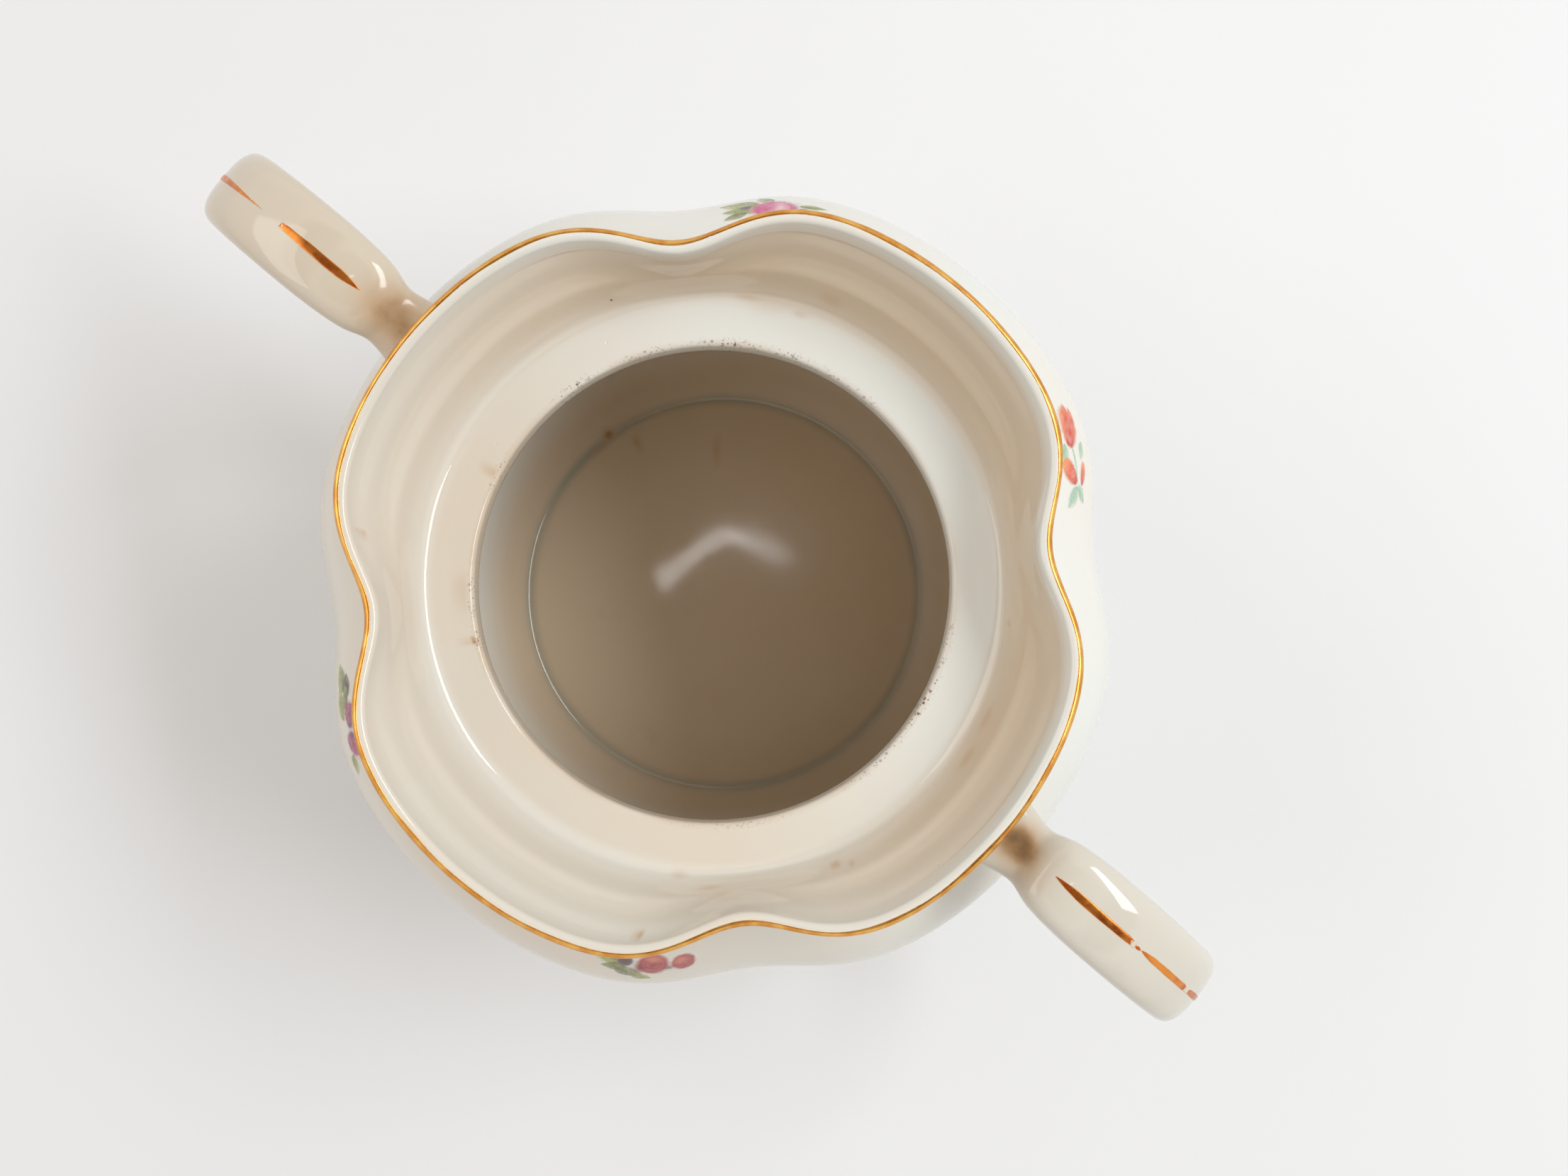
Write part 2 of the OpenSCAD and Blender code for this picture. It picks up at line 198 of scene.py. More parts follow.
class Mesh:
    """Collects points, quads and per-point values for one piece, and makes the piece."""

    def __init__(self) -> None:
        """Starts with nothing in it."""
        self.points: list[Array] = []
        self.quads: list[Array] = []
        self.values: dict[str, list[Array]] = {}
        self.count = 0

    def add(self, points: Array, quads: Array, **values: Array) -> None:
        """Adds a patch.

        Args:
            points: Its points in millimetres, any grid shape plus a last axis of 3.
            quads: Point numbers within the patch, four per face.
            values: Named attributes, one number or one colour per point.
        """
        flat = points.reshape(-1, 3)
        self.points.append(flat)
        self.quads.append(quads + self.count)
        for name, value in values.items():
            self.values.setdefault(name, []).append(value.reshape(len(flat), -1))
        self.count += len(flat)

    def piece(self, name: str, material: bpy.types.Material) -> bpy.types.Object:
        """Makes the Blender object, smooth-shaded, with its attributes and material.

        Args:
            name: The piece's name.
            material: What it is finished with.

        Returns:
            The new object, at the origin.
        """
        points, quads = np.concatenate(self.points) * MM, np.concatenate(self.quads)
        sizes = np.where(quads[:, 0] == quads[:, 3], 3, 4)
        keep = np.ones(quads.shape, bool)
        keep[sizes == 3, 3] = False
        mesh = bpy.data.meshes.new(name)
        mesh.vertices.add(len(points))
        mesh.vertices.foreach_set("co", points.ravel())
        mesh.loops.add(int(sizes.sum()))
        mesh.loops.foreach_set("vertex_index", quads[keep].astype(np.int32))
        mesh.polygons.add(len(quads))
        mesh.polygons.foreach_set("loop_start", np.concatenate([[0], np.cumsum(sizes)[:-1]]).astype(np.int32))
        mesh.polygons.foreach_set("use_smooth", np.ones(len(quads), bool))
        mesh.update(calc_edges=True)
        for key, parts in self.values.items():
            data = np.concatenate(parts)
            if data.shape[1] == 1:
                mesh.attributes.new(key, "FLOAT", "POINT").data.foreach_set("value", data.ravel())
            else:
                colours = np.concatenate([data, np.ones((len(data), 1))], 1)
                mesh.attributes.new(key, "FLOAT_COLOR", "POINT").data.foreach_set("color", colours.ravel())
        mesh.materials.append(material)
        item = bpy.data.objects.new(name, mesh)
        bpy.context.scene.collection.objects.link(item)
        return item


# ---- finishes -----------------------------------------------------------------------------------------


class Grain(NamedTuple):
    """Soft noise on a ramp: features in a metre, detail, and the stretch low..high that maps to a range."""

    scale: float
    detail: float
    low: float
    high: float
    to: tuple[float, float] = (0, 1)


class Dots(NamedTuple):
    """Scattered round dots: cells in a metre, the part of them that hold a dot, and its radius in a cell."""

    scale: float
    share: float
    radius: float


class Nodes:
    """A short way to write a material's or the world's node tree."""

    def __init__(self, tree: bpy.types.NodeTree) -> None:
        """Empties the tree and keeps it."""
        tree.nodes.clear()
        self.tree = tree

    def add(self, kind: str, settings: dict | None = None, **inputs: object) -> bpy.types.Node:
        """Adds a node.

        Args:
            kind: The node's type name after "ShaderNode".
            settings: Properties to set on the node.
            inputs: Socket values or links; spaces in socket names are written as underscores, and
                in_0, in_1 and so on stand for sockets by number.

        Returns:
            The new node.
        """
        node = self.tree.nodes.new("ShaderNode" + kind)
        for key, value in (settings or {}).items():
            setattr(node, key, value)
        for key, value in inputs.items():
            socket = node.inputs[int(key[3:]) if key.startswith("in_") else key.replace("_", " ")]
            if isinstance(value, bpy.types.NodeSocket):
                self.tree.links.new(value, socket)
            elif isinstance(value, tuple) and len(value) == 3 and socket.type == "RGBA":
                socket.default_value = (*value, 1)
            else:
                socket.default_value = value
        return node

    def maths(self, operation: str, a: object, b: object = 0.0, clamp: bool = False) -> bpy.types.NodeSocket:
        """One step of arithmetic, and its result."""
        return self.add("Math", {"operation": operation, "use_clamp": clamp}, in_0=a, in_1=b).outputs[0]

    def times(self, a: object, b: object, clamp: bool = False) -> bpy.types.NodeSocket:
        """The product of two numbers."""
        return self.maths("MULTIPLY", a, b, clamp)

    def plus(self, a: object, b: object) -> bpy.types.NodeSocket:
        """The sum of two numbers."""
        return self.maths("ADD", a, b)

    def spread(self, noise: object, amount: float) -> bpy.types.NodeSocket:
        """Shifts noise of 0 to 1 so that it lies about zero, and scales it."""
        return self.times(self.maths("SUBTRACT", noise, 0.5), amount)

    def ramp(self, value: object, low: float, high: float,
             to: tuple[float, float] = (0, 1)) -> bpy.types.NodeSocket:
        """Maps low..high smoothly to the two numbers of to."""
        return self.add("MapRange", {"interpolation_type": "SMOOTHSTEP"}, Value=value, From_Min=low,
                        From_Max=high, To_Min=to[0], To_Max=to[1]).outputs["Result"]

    def mix(self, amount: object, a: object, b: object) -> bpy.types.NodeSocket:
        """Blends two colours."""
        return self.add("Mix", {"data_type": "RGBA"}, in_0=amount, in_6=a, in_7=b).outputs[2]

    def noise(self, place: bpy.types.NodeSocket, scale: float, detail: float = 2.0) -> bpy.types.NodeSocket:
        """Soft noise from 0 to 1 with scale features in a metre."""
        return self.add("TexNoise", Vector=place, Scale=scale, Detail=detail).outputs[0]

    def grain(self, place: bpy.types.NodeSocket, grain: Grain) -> bpy.types.NodeSocket:
        """The noise and ramp that a Grain describes."""
        return self.ramp(self.noise(place, grain.scale, grain.detail), grain.low, grain.high, grain.to)

    def surface(self, **inputs: object) -> None:
        """Ends a material with a principled surface that takes the given inputs."""
        self.add("OutputMaterial", Surface=self.add("BsdfPrincipled", **inputs).outputs[0])

    def place(self) -> bpy.types.NodeSocket:
        """The object coordinates, in metres."""
        return self.add("TexCoord").outputs["Object"]

    def attribute(self, name: str, colour: bool = False) -> bpy.types.NodeSocket:
        """A named attribute of the piece's points."""
        return self.add("Attribute", {"attribute_name": name}).outputs["Color" if colour else "Fac"]


def new_material(name: str) -> tuple[bpy.types.Material, Nodes]:
    """Makes an empty material.

    Args:
        name: The material's name.

    Returns:
        The material and its node writer.
    """
    material = bpy.data.materials.new(name)
    material.use_nodes = True
    return material, Nodes(material.node_tree)


@dataclass(frozen=True)
class Glaze:
    """Clear glaze over white porcelain: iron specks, pinholes, brown stains, painted shade and a bare foot.

    It reads five attributes of the piece: "age" yellows it, paints shade into the cavity and its floor,
    the funnel and one side, and smooths its waves; "smudge" stains it softly and paints broad shade on the
    cavity's floor; "grime" stains it in fine dots, "pool" tints thick glaze, and "bare" takes the glaze off.
    """

    name: str
    cool: Rgb = linear(235, 238, 234)
    warm: Rgb = linear(238, 234, 226)
    # Yellowed glaze, whose colour also paints shade into the cavity, on the funnel and on one side.
    aged_and_shaded: Rgb = linear(218, 198, 172)
    pooled: Rgb = linear(132, 150, 140)
    # Stain colours, which on the cavity's floor also paint broad shade.
    amber: Rgb = linear(200, 158, 112)
    umber: Rgb = linear(112, 82, 54)
    dirt: Rgb = linear(100, 52, 22)
    speck: Rgb = linear(62, 46, 34)
    bisque: Rgb = linear(214, 205, 190)
    mottle: Grain = Grain(22, 3, 0.35, 0.7)
    patchy: Grain = Grain(170, 4, 0.25, 0.7, (0.62, 1))
    smears: Grain = Grain(95, 5, 0.66, 0.8)
    polish: Grain = Grain(60, 3, 0.3, 0.7, (0.04, 0.08))
    crumbs: Dots = Dots(1500, 0.5, 0.42)
    fine_crumbs: Dots = Dots(2600, 0.5, 0.45)
    specks: Dots = Dots(210, 0.07, 0.05)
    pinholes: Dots = Dots(420, 0.06, 0.09)
    smear_strength: float = 0.12
    speck_strength: float = 0.75
    bare_roughness: float = 0.55
    stain_roughness: float = 0.25
    ripple_share: float = 0.05
    pinhole_depth: float = 0.25
    calm_at_age: tuple[float, float] = (0.55, 0.75)
    calmed_to: float = 0.14
    wave: float = 0.00035
    ior: float = 1.5

    def mask(self, n: Nodes, dots: Dots) -> bpy.types.NodeSocket:
        """A mask of scattered round dots.

        Args:
            n: The node writer.
            dots: How they are scattered.

        Returns:
            1 inside the dots and 0 outside.
        """
        cells = n.add("TexVoronoi", Vector=n.place(), Scale=dots.scale)
        lot = n.add("SeparateColor", in_0=cells.outputs["Color"]).outputs[0]
        inside = n.ramp(cells.outputs["Distance"], dots.radius, dots.radius * 0.5)
        return n.times(inside, n.maths("LESS_THAN", lot, dots.share))

    def tone(self, n: Nodes, smudge: bpy.types.NodeSocket) -> bpy.types.NodeSocket:
        """Lays the colours over each other: mottled white, yellowing, thick glaze, stains, crumbs, specks,
        clay;
        the yellowing and the stains also paint shade.

        Args:
            n: The node writer.
            smudge: How stained each place is, and how much broad shade is painted on the cavity's floor.

        Returns:
            The colour.
        """
        place = n.place()
        tone = n.mix(n.grain(place, self.mottle), self.cool, self.warm)
        # Yellowing, which also paints shade into the cavity, on the funnel and on one side.
        tone = n.mix(n.attribute("age"), tone, self.aged_and_shaded)
        tone = n.mix(n.attribute("pool"), tone, self.pooled)
        smear = n.times(n.grain(place, self.smears), self.smear_strength)
        # Stains, which on the cavity's floor also paint broad shade.
        tone = n.mix(n.times(n.maths("MAXIMUM", smudge, smear), 1.5, clamp=True), tone, self.amber)
        tone = n.mix(n.ramp(smudge, 0.3, 1.0), tone, self.umber)
        crumbs = n.maths("MAXIMUM", self.mask(n, self.crumbs), self.mask(n, self.fine_crumbs))
        tone = n.mix(n.times(crumbs, n.attribute("grime"), clamp=True), tone, self.dirt)
        tone = n.mix(n.times(self.mask(n, self.specks), self.speck_strength), tone, self.speck)
        return n.mix(n.attribute("bare"), tone, self.bisque)

    def roughness(self, n: Nodes, smudge: bpy.types.NodeSocket) -> bpy.types.NodeSocket:
        """Roughens the polish a little where it is stained or painted with broad shade, and a lot where it is
        bare.
        """
        rough = n.plus(n.times(n.attribute("bare"), self.bare_roughness), n.grain(n.place(), self.polish))
        return n.plus(rough, n.times(smudge, self.stain_roughness))

    def relief(self, n: Nodes) -> bpy.types.NodeSocket:
        """Bends the normals over soft waves, which the attribute "age" calms, and over pinholes.

        Args:
            n: The node writer.

        Returns:
            The normal.
        """
        place = n.place()
        waves = n.plus(n.noise(place, 55, 2), n.times(n.noise(place, 420, 2), self.ripple_share))
        calm = n.ramp(n.attribute("age"), *self.calm_at_age, (1, self.calmed_to))
        height = n.plus(n.times(waves, calm), n.times(self.mask(n, self.pinholes), -self.pinhole_depth))
        return n.add("Bump", Height=height, Strength=0.5, Distance=self.wave).outputs[0]

    def material(self) -> bpy.types.Material:
        """Builds the glaze.

        Returns:
            The material.
        """
        material, n = new_material(self.name)
        smudge = n.times(n.attribute("smudge"), n.grain(n.place(), self.patchy), clamp=True)
        n.surface(Base_Color=self.tone(n, smudge), Roughness=self.roughness(n, smudge),
                  Normal=self.relief(n), IOR=self.ior)
        return material


@dataclass(frozen=True)
class Gold:
    """Burnished gold film, worn through to the glaze where the attribute "wear" is high."""

    name: str
    bright: Rgb = linear(230, 176, 94)
    deep: Rgb = linear(206, 136, 58)
    under: Rgb = linear(226, 212, 190)
    polish: Grain = Grain(900, 3, 0.3, 0.75, (0.22, 0.34))
    raggedness: float = 0.5
    worn_from: float = 0.52
    worn_to: float = 0.68
    brushed: float = 0.00003

    def material(self) -> bpy.types.Material:
        """Builds the gold; noise makes the edges of its worn places ragged.

        Returns:
            The material.
        """
        material, n = new_material(self.name)
        place = n.place()
        patch = n.noise(place, 420, 4)
        worn = n.plus(n.attribute("wear"), n.spread(n.noise(place, 2400, 3), self.raggedness))
        worn = n.ramp(n.plus(worn, n.spread(patch, self.raggedness)), self.worn_from, self.worn_to)
        gold = n.mix(n.ramp(patch, 0.3, 0.7), self.bright, self.deep)
        normal = n.add("Bump", Height=n.noise(place, 380, 2), Strength=0.25, Distance=self.brushed).outputs[0]
        n.surface(Base_Color=n.mix(worn, gold, self.under), Metallic=n.maths("SUBTRACT", 1.0, worn),
                  Roughness=n.grain(place, self.polish), Normal=normal)
        return material


@dataclass(frozen=True)
class Enamel:
    """Fired transfer colours, which the attribute "paint" holds point by point."""

    name: str
    print_grain: Grain = Grain(5200, 3, 0.25, 0.75, (0.86, 1.06))
    polish: Grain = Grain(800, 3, 0.3, 0.7, (0.14, 0.24))
    fired: float = 0.00003
    ior: float = 1.5

    def material(self) -> bpy.types.Material:
        """Builds the enamel, with a fine print grain over its painted colours.

        Returns:
            The material.
        """
        material, n = new_material(self.name)
        place = n.place()
        paint, grain = n.attribute("paint", colour=True), n.grain(place, self.print_grain)
        printed = n.add("VectorMath", {"operation": "SCALE"}, in_0=paint, Scale=grain).outputs[0]
        normal = n.add("Bump", Height=n.noise(place, 1800, 2), Strength=0.25, Distance=self.fired).outputs[0]
        n.surface(Base_Color=printed, Roughness=n.grain(place, self.polish), Normal=normal, IOR=self.ior)
        return material


@dataclass(frozen=True)
class StudioFloor:
    """Plain pale paper under the bowl, which fades into the white room far out."""

    name: str
    paper: Rgb = linear(241, 243, 246)
    shade: Rgb = linear(238, 240, 243)
    mottle: Grain = Grain(4, 2, 0.3, 0.7)
    fade: tuple[float, float] = (0.26, 1.1)

    def material(self) -> bpy.types.Material:
        """Builds the paper, barely uneven, with a white glow that camera and glossy rays meet far out.

        Returns:
            The material.
        """
        material, n = new_material(self.name)
        colour = n.mix(n.grain(n.place(), self.mottle), self.paper, self.shade)
        shader = n.add("BsdfPrincipled", Base_Color=colour, Roughness=0.85, Specular_IOR_Level=0.1)
        away = n.add("VectorMath", {"operation": "LENGTH"}, in_0=n.place()).outputs["Value"]
        white = n.add("Emission", Color=(1.0, 1.0, 1.0), Strength=1.0)
        seen = n.add("LightPath").outputs
        far = n.times(n.ramp(away, *self.fade), n.plus(seen["Is Camera Ray"], seen["Is Glossy Ray"]))
        mixed = n.add("MixShader", in_0=far, in_1=shader.outputs[0], in_2=white.outputs[0])
        n.add("OutputMaterial", Surface=mixed.outputs[0])
        return material


# ---- the body -----------------------------------------------------------------------------------------


@dataclass(frozen=True)
class Mark:
    """A soft brown mark: its middle's angle and radius, its reach round and across, and its strength."""

    angle: float
    radius: float
    round_reach: float
    cross_reach: float
    strength: float

    def mask(self, angle: Array, radius: Array) -> Array:
        """How strong the mark is: an oval bell, flatter on top than a plain one.

        Args:
            angle: Degrees round the axis.
            radius: Millimetres from the axis.

        Returns:
            The strength at every place.
        """
        arc = np.radians((angle - self.angle + 180) % 360 - 180) * self.radius
        away = (arc / self.round_reach) ** 2 + ((radius - self.radius) / self.cross_reach) ** 2
        return self.strength * np.exp(-away**1.4)


FUNNEL_MARKS = (
    Mark(123, 37.4, 1.6, 0.4, 0.2), Mark(112, 36.8, 1.0, 0.4, 0.2), Mark(107, 39.2, 1.3, 0.5, 0.22),
    Mark(119, 36.9, 3.0, 1.2, 0.1), Mark(13, 38.9, 1.7, 0.3, 0.2), Mark(5, 39.2, 1.5, 0.3, 0.24),
    Mark(9, 39.0, 5.0, 1.2, 0.08), Mark(333, 39.1, 0.6, 0.4, 0.4), Mark(336, 39.6, 0.3, 0.3, 0.3),
    Mark(303, 37.7, 0.9, 0.6, 0.2), Mark(309, 39.5, 1.4, 0.3, 0.2), Mark(212, 43.9, 0.4, 0.4, 0.4),
    Mark(222, 32.5, 2.6, 0.5, 0.2), Mark(233, 32.0, 0.5, 0.4, 0.7), Mark(193, 32.2, 0.7, 0.4, 0.4),
    Mark(32, 38.5, 0.3, 0.3, 0.5), Mark(298, 44.1, 0.35, 0.5, 0.8), Mark(192, 44.6, 0.35, 0.35, 0.7),
)
# Floor marks: brown stains; the broad ones at 85 and 35 degrees are painted shade on the window's side.
FLOOR_MARKS = (
    Mark(166, 36.6, 1.1, 0.9, 0.8), Mark(160, 33.2, 0.9, 0.7, 0.7), Mark(171, 35.6, 2.2, 0.7, 0.35),
    Mark(133, 27.0, 0.7, 0.6, 0.35), Mark(300, 20.0, 5.0, 3.0, 0.06), Mark(40, 18.0, 6.0, 4.0, 0.07),
    Mark(85, 27.0, 18.0, 8.0, 0.15), Mark(35, 27.0, 12.0, 7.0, 0.1),
)
# Where brown crumbs cling to the hole's edge: angle, reach in degrees, strength.
EDGE_CRUMBS = (
    (126, 7, 1.0), (112, 5, 0.6), (100, 6, 0.4), (90, 3, 0.5), (146, 6, 0.6), (166, 5, 1.0), (193, 4, 0.6),
    (222, 5, 0.6), (233, 2, 0.9), (10, 9, 1.0), (26, 5, 0.5), (352, 8, 0.5), (315, 12, 0.25),
)


def marked(marks: tuple[Mark, ...], angle: Array, radius: Array) -> Array:
    """How strong all the marks are together."""
    return sum(mark.mask(angle, radius) for mark in marks)


class Zone(Enum):
    """The parts of the wall's profile, in order."""

    FOOT = 0
    OUTSIDE = 1
    LIP = 2
    FUNNEL = 3
    LEDGE = 4
    CAVITY = 5


@dataclass(frozen=True)
class Wall:
    """The slip-cast wall: a profile carried round the axis and pinched by four grooves.

    A profile row is [radius on a lobe, height, groove depth, dip of the groove's bottom]. The yellowing pairs
    say how yellow each part is painted, first opposite the chosen side and then on it; the same yellowing
    also paints shade, darkening the cavity, its floor, the funnel and one side of each part.
    """

    height: float = 88.0
    rim_r: float = 46.6
    belly_r: float = 59.6
    foot_r: float = 39.0
    hole_r: float = 31.2
    lip_t: float = 1.8
    rim_notch: float = 5.1
    belly_notch: float = 3.6
    notch_spread: float = 13.1
    rim_dip: float = 1.2
    columns: int = 432
    unevenness: float = 0.07
    ridges: tuple[float, ...] = (40.2, 43.1)
    ridge_height: float = 0.2
    ridge_width: float = 0.75
    base_z: float = 3.0
    floor_z: float = 7.49
    floor_top: float = 12.0
    # Yellowing that also paints shade: the side it is measured from, then each part's amount opposite that
    # side and on it.
    age_and_shade_side: float = 255.0
    cavity_age_shade: tuple[float, float] = (0.72, 0.14)
    floor_age_shade: tuple[float, float] = (0.36, 0.86)
    ledge_age_shade: tuple[float, float] = (0.04, 0.54)
    funnel_age_shade: tuple[float, float] = (0.48, 0.06)
    outer_age_shade: tuple[float, float] = (0.04, 0.4)

    @property
    def lip_round(self) -> float:
        """Radius of the rounded lip."""
        return self.lip_t / 2

    @property
    def neck_z(self) -> float:
        """Height of the neck, where the wall is narrowest under the lip."""
        return self.height - 11.4

    @property
    def belly_z(self) -> float:
        """Height of the widest part."""
        return self.height - 38

    def notch(self, angle: Array) -> Array:
        """1 in a groove's bottom and 0 on a lobe: a bell of the angle from the nearest groove."""
        away = angle - 45 - 90 * np.round((angle - 45) / 90)
        return bump(away, 0, self.notch_spread)

    def outer_keys(self) -> Array:
        """Profile of the outside, from the foot's top to just under the lip.

        Returns:
            The profile's rows.
        """
        belly, bz, bn = self.belly_r, self.belly_z, self.belly_notch
        rim, nz, rn, dip = self.rim_r, self.neck_z, self.rim_notch, self.rim_dip
        return np.array([
            [self.foot_r - 0.1, 5, 0, 0],
            [self.foot_r + 3.8, 10.2, 0.6, 0],
            [self.foot_r + 9.4, 18.8, 1.5, 0],
            [belly - 5.8, 29, 0.7 * bn, 0],
            [belly - 1.8, 39.5, 0.9 * bn, 0],
            [belly, bz, bn, 0],
            [belly - 0.8, bz + 7.4, 1.04 * bn, 0],
            [belly - 3.7, bz + 13, bn, 0],
            [belly - 8.5, bz + 18, 0.85 * bn, 0],
            [belly - 13.6, bz + 21.7, 0.6 * bn, 0],
            [rim - 4.1, nz - 2.6, 1.5, 0.1],
            [rim - 5.3, nz, 1.4, 0.2],
            [rim - 4.8, nz + 3, 0.4 * rn, 0.5 * dip],
            [rim - 3.1, nz + 6.6, 0.7 * rn, 0.8 * dip],
            [rim - 0.8, nz + 9.6, 0.94 * rn, dip],
        ])

    def foot_keys(self) -> Array:
        """Profile under the base and round the foot ring.

        Returns:
            The profile's rows.
        """
        inner, outer = self.foot_r - 3.6, self.foot_r
        return np.array([
            [4, 3, 0, 0], [24, 2.9, 0, 0], [inner - 2.2, 2.75, 0, 0], [inner - 0.4, 2.3, 0, 0],
            [inner + 0.2, 1.2, 0, 0], [inner + 0.6, 0.2, 0, 0], [inner + 1.2, 0, 0, 0],
            [outer - 1.3, 0, 0, 0], [outer - 0.55, 0.15, 0, 0], [outer - 0.1, 0.7, 0, 0],
            [outer - 0.05, 2, 0, 0], [outer - 0.25, 3.5, 0, 0],
        ])

    def lip_row(self, turn: Array, lift: float | Array = 0.0) -> Array:
        """Profile rows on the rounded lip, an arc from its outside over its top.

        Args:
            turn: Degrees round the arc, from outwards.
            lift: How far off the lip.

        Returns:
            The profile's rows.
        """
        reach = self.lip_round + lift
        radius = self.rim_r - self.lip_round + reach * np.cos(np.radians(turn))
        level = self.height - self.lip_round + reach * np.sin(np.radians(turn))
        ones = np.ones_like(radius)
        return np.stack([radius, level, self.rim_notch * ones, self.rim_dip * ones], -1)

    def funnel_keys(self) -> Array:
        """Profile of the funnel inside the lip, down to the ledge.

        Returns:
            The profile's rows.
        """
        rim, h, rn, dip = self.rim_r, self.height, self.rim_notch, self.rim_dip
        return np.array([
            [rim - 2.5, h - 2.2, 0.92 * rn, dip], [rim - 4.2, h - 5, 0.68 * rn, 0.8 * dip],
            [rim - 6, h - 7.4, 0.42 * rn, 0.5 * dip], [rim - 6.8, h - 8.7, 0.3 * rn, 0.3 * dip],
            [rim - 8, h - 10.8, 0.14 * rn, 0.1 * dip], [rim - 9.4, h - 12.5, 0, 0],
            [rim - 12.2, h - 13.4, 0, 0],
        ])

    def ledge_keys(self) -> Array:
        """Profile of the ledge's cut edge round the hole.

        Returns:
            The profile's rows.
        """
        hole, h = self.hole_r, self.height
        return np.array([
            [hole + 1.2, h - 13.75, 0, 0], [hole + 0.45, h - 13.9, 0, 0], [hole + 0.1, h - 14.2, 0, 0],
            [hole, h - 14.7, 0, 0], [hole, h - 16.6, 0, 0], [hole + 0.15, h - 17.2, 0, 0],
            [hole + 0.8, h - 17.5, 0, 0],
        ])

    def cavity_keys(self) -> Array:
        """Profile of the inside, from under the ledge to the floor's middle.

        Returns:
            The profile's rows.
        """
        belly, bz, bn = self.belly_r, self.belly_z, self.belly_notch
        return np.array([
            [self.hole_r + 2.4, self.height - 17.7, 0, 0],
            [self.hole_r + 6, self.height - 18.6, 0.3, 0],
            [belly - 16.4, self.height - 21.2, 0.35 * bn, 0],
            [belly - 10.6, self.height - 25.2, 0.75 * bn, 0],
            [belly - 6, self.height - 30.4, bn, 0],
            [belly - 3.5, bz + 1, bn, 0],
            [belly - 4.9, bz - 9, 0.85 * bn, 0],
            [belly - 9, bz - 20, 0.6 * bn, 0],
            [self.foot_r + 6.3, 19.8, 1, 0],
            [self.foot_r + 1.6, 12.4, 0.4, 0],
            [self.foot_r - 1.6, 9, 0, 0],
            [self.foot_r - 2.8, 8.0, 0, 0],
            [self.foot_r - 4.4, 8.05, 0, 0],
            [27, 7.8, 0, 0], [15, 7.6, 0, 0], [4, 7.5, 0, 0],
        ])

    def profile(self) -> tuple[Array, Array]:
        """Joins the parts of the profile, and raises the funnel's two casting ridges on it.

        Returns:
            All profile rows in order, and the number of the zone that each belongs to.
        """
        def even(keys: Array, steps: int) -> Array:
            """Rows at even steps between the keys."""
            return spline(keys, np.arange(steps * (len(keys) - 1) + 1) / steps)
        funnel = even(self.funnel_keys(), 10)
        for radius in self.ridges:
            funnel[:, 1] += self.ridge_height * bump(funnel[:, 0], radius, self.ridge_width)
        parts = {
            Zone.FOOT: even(self.foot_keys(), 2), Zone.OUTSIDE: even(self.outer_keys(), 5),
            Zone.LIP: self.lip_row(np.arange(-5, 176, 15.0)), Zone.FUNNEL: funnel,
            Zone.LEDGE: even(self.ledge_keys(), 2), Zone.CAVITY: even(self.cavity_keys(), 3),
        }
        zone = np.repeat([part.value for part in parts], [len(rows) for rows in parts.values()])
        return np.concatenate(list(parts.values())), zone

    def wobble(self, angle: Array, level: Array) -> Array:
        """The casting's slow seeded unevenness, which fades out at the foot."""
        waves = around(angle, 5, 6) * 0.5 + around(angle + 2.2 * level, 9, 5) * 0.5
        return self.unevenness * smoothstep(2, 20, level) * waves

    def point(self, angle: Array, row: Array, lift: float | Array = 0.0) -> Array:
        """Places profile rows round the axis.

        The radius is the row's own, less its groove depth times notch(angle), and the height drops by
        its dip in the same way. A slow wobble keeps the casting from being perfect.

        Args:
            angle: Degrees round the axis.
            row: Profile rows, broadcast against angle.
            lift: How far off the surface, outwards.

        Returns:
            Points in millimetres.
        """
        pinch = self.notch(angle)
        radius = row[..., 0] - row[..., 2] * pinch + lift + self.wobble(angle, row[..., 1])
        turn = np.radians(angle)
        level = np.maximum(row[..., 1] - row[..., 3] * pinch, 0)
        return np.stack([radius * np.cos(turn), radius * np.sin(turn), level], -1)

    def outside(self, angle: Array, s: Array, lift: float | Array = 0.0) -> Array:
        """A point of the outside, at s counted along outer_keys."""
        return self.point(angle, spline(self.outer_keys(), s), lift)

    def excess(self, points: Array) -> Array:
        """How far points lie outside the outer surface, measured level from the axis.

        Args:
            points: Points in millimetres.

        Returns:
            Millimetres, less than 0 inside.
        """
        keys = self.outer_keys()
        rows = spline(keys, np.linspace(0, len(keys) - 1, 600))
        x, y, z = np.moveaxis(points, -1, 0)
        radius, groove = (np.interp(z, rows[:, 1], rows[:, column]) for column in (0, 2))
        return np.hypot(x, y) - (radius - groove * self.notch(np.degrees(np.arctan2(y, x))))

    def sided(self, angle: Array) -> Array:
        """1 on the side where the outside's yellowing and painted shade are strongest, and 0 opposite it."""
        return smoothstep(-0.6, 0.7, np.cos(np.radians(angle - self.age_and_shade_side)))

    def outer_age_and_shade(self, angle: Array) -> Array:
        """How far the outside is yellowed and painted with shade, most on one side."""
        return blend(self.sided(angle), *self.outer_age_shade)

    def inner_age_and_shade(self, angle: Array, rows: Array) -> Array:
        """How far the cavity is yellowed and painted darker with shade, more on its floor.

        Args:
            angle: Degrees round the axis.
            rows: Profile rows.

        Returns:
            The age at every point.
        """
        side = self.sided(angle)
        deep = smoothstep(20, 10, rows[..., 1])
        return blend(side, *self.cavity_age_shade) + deep * blend(side, *self.floor_age_shade)

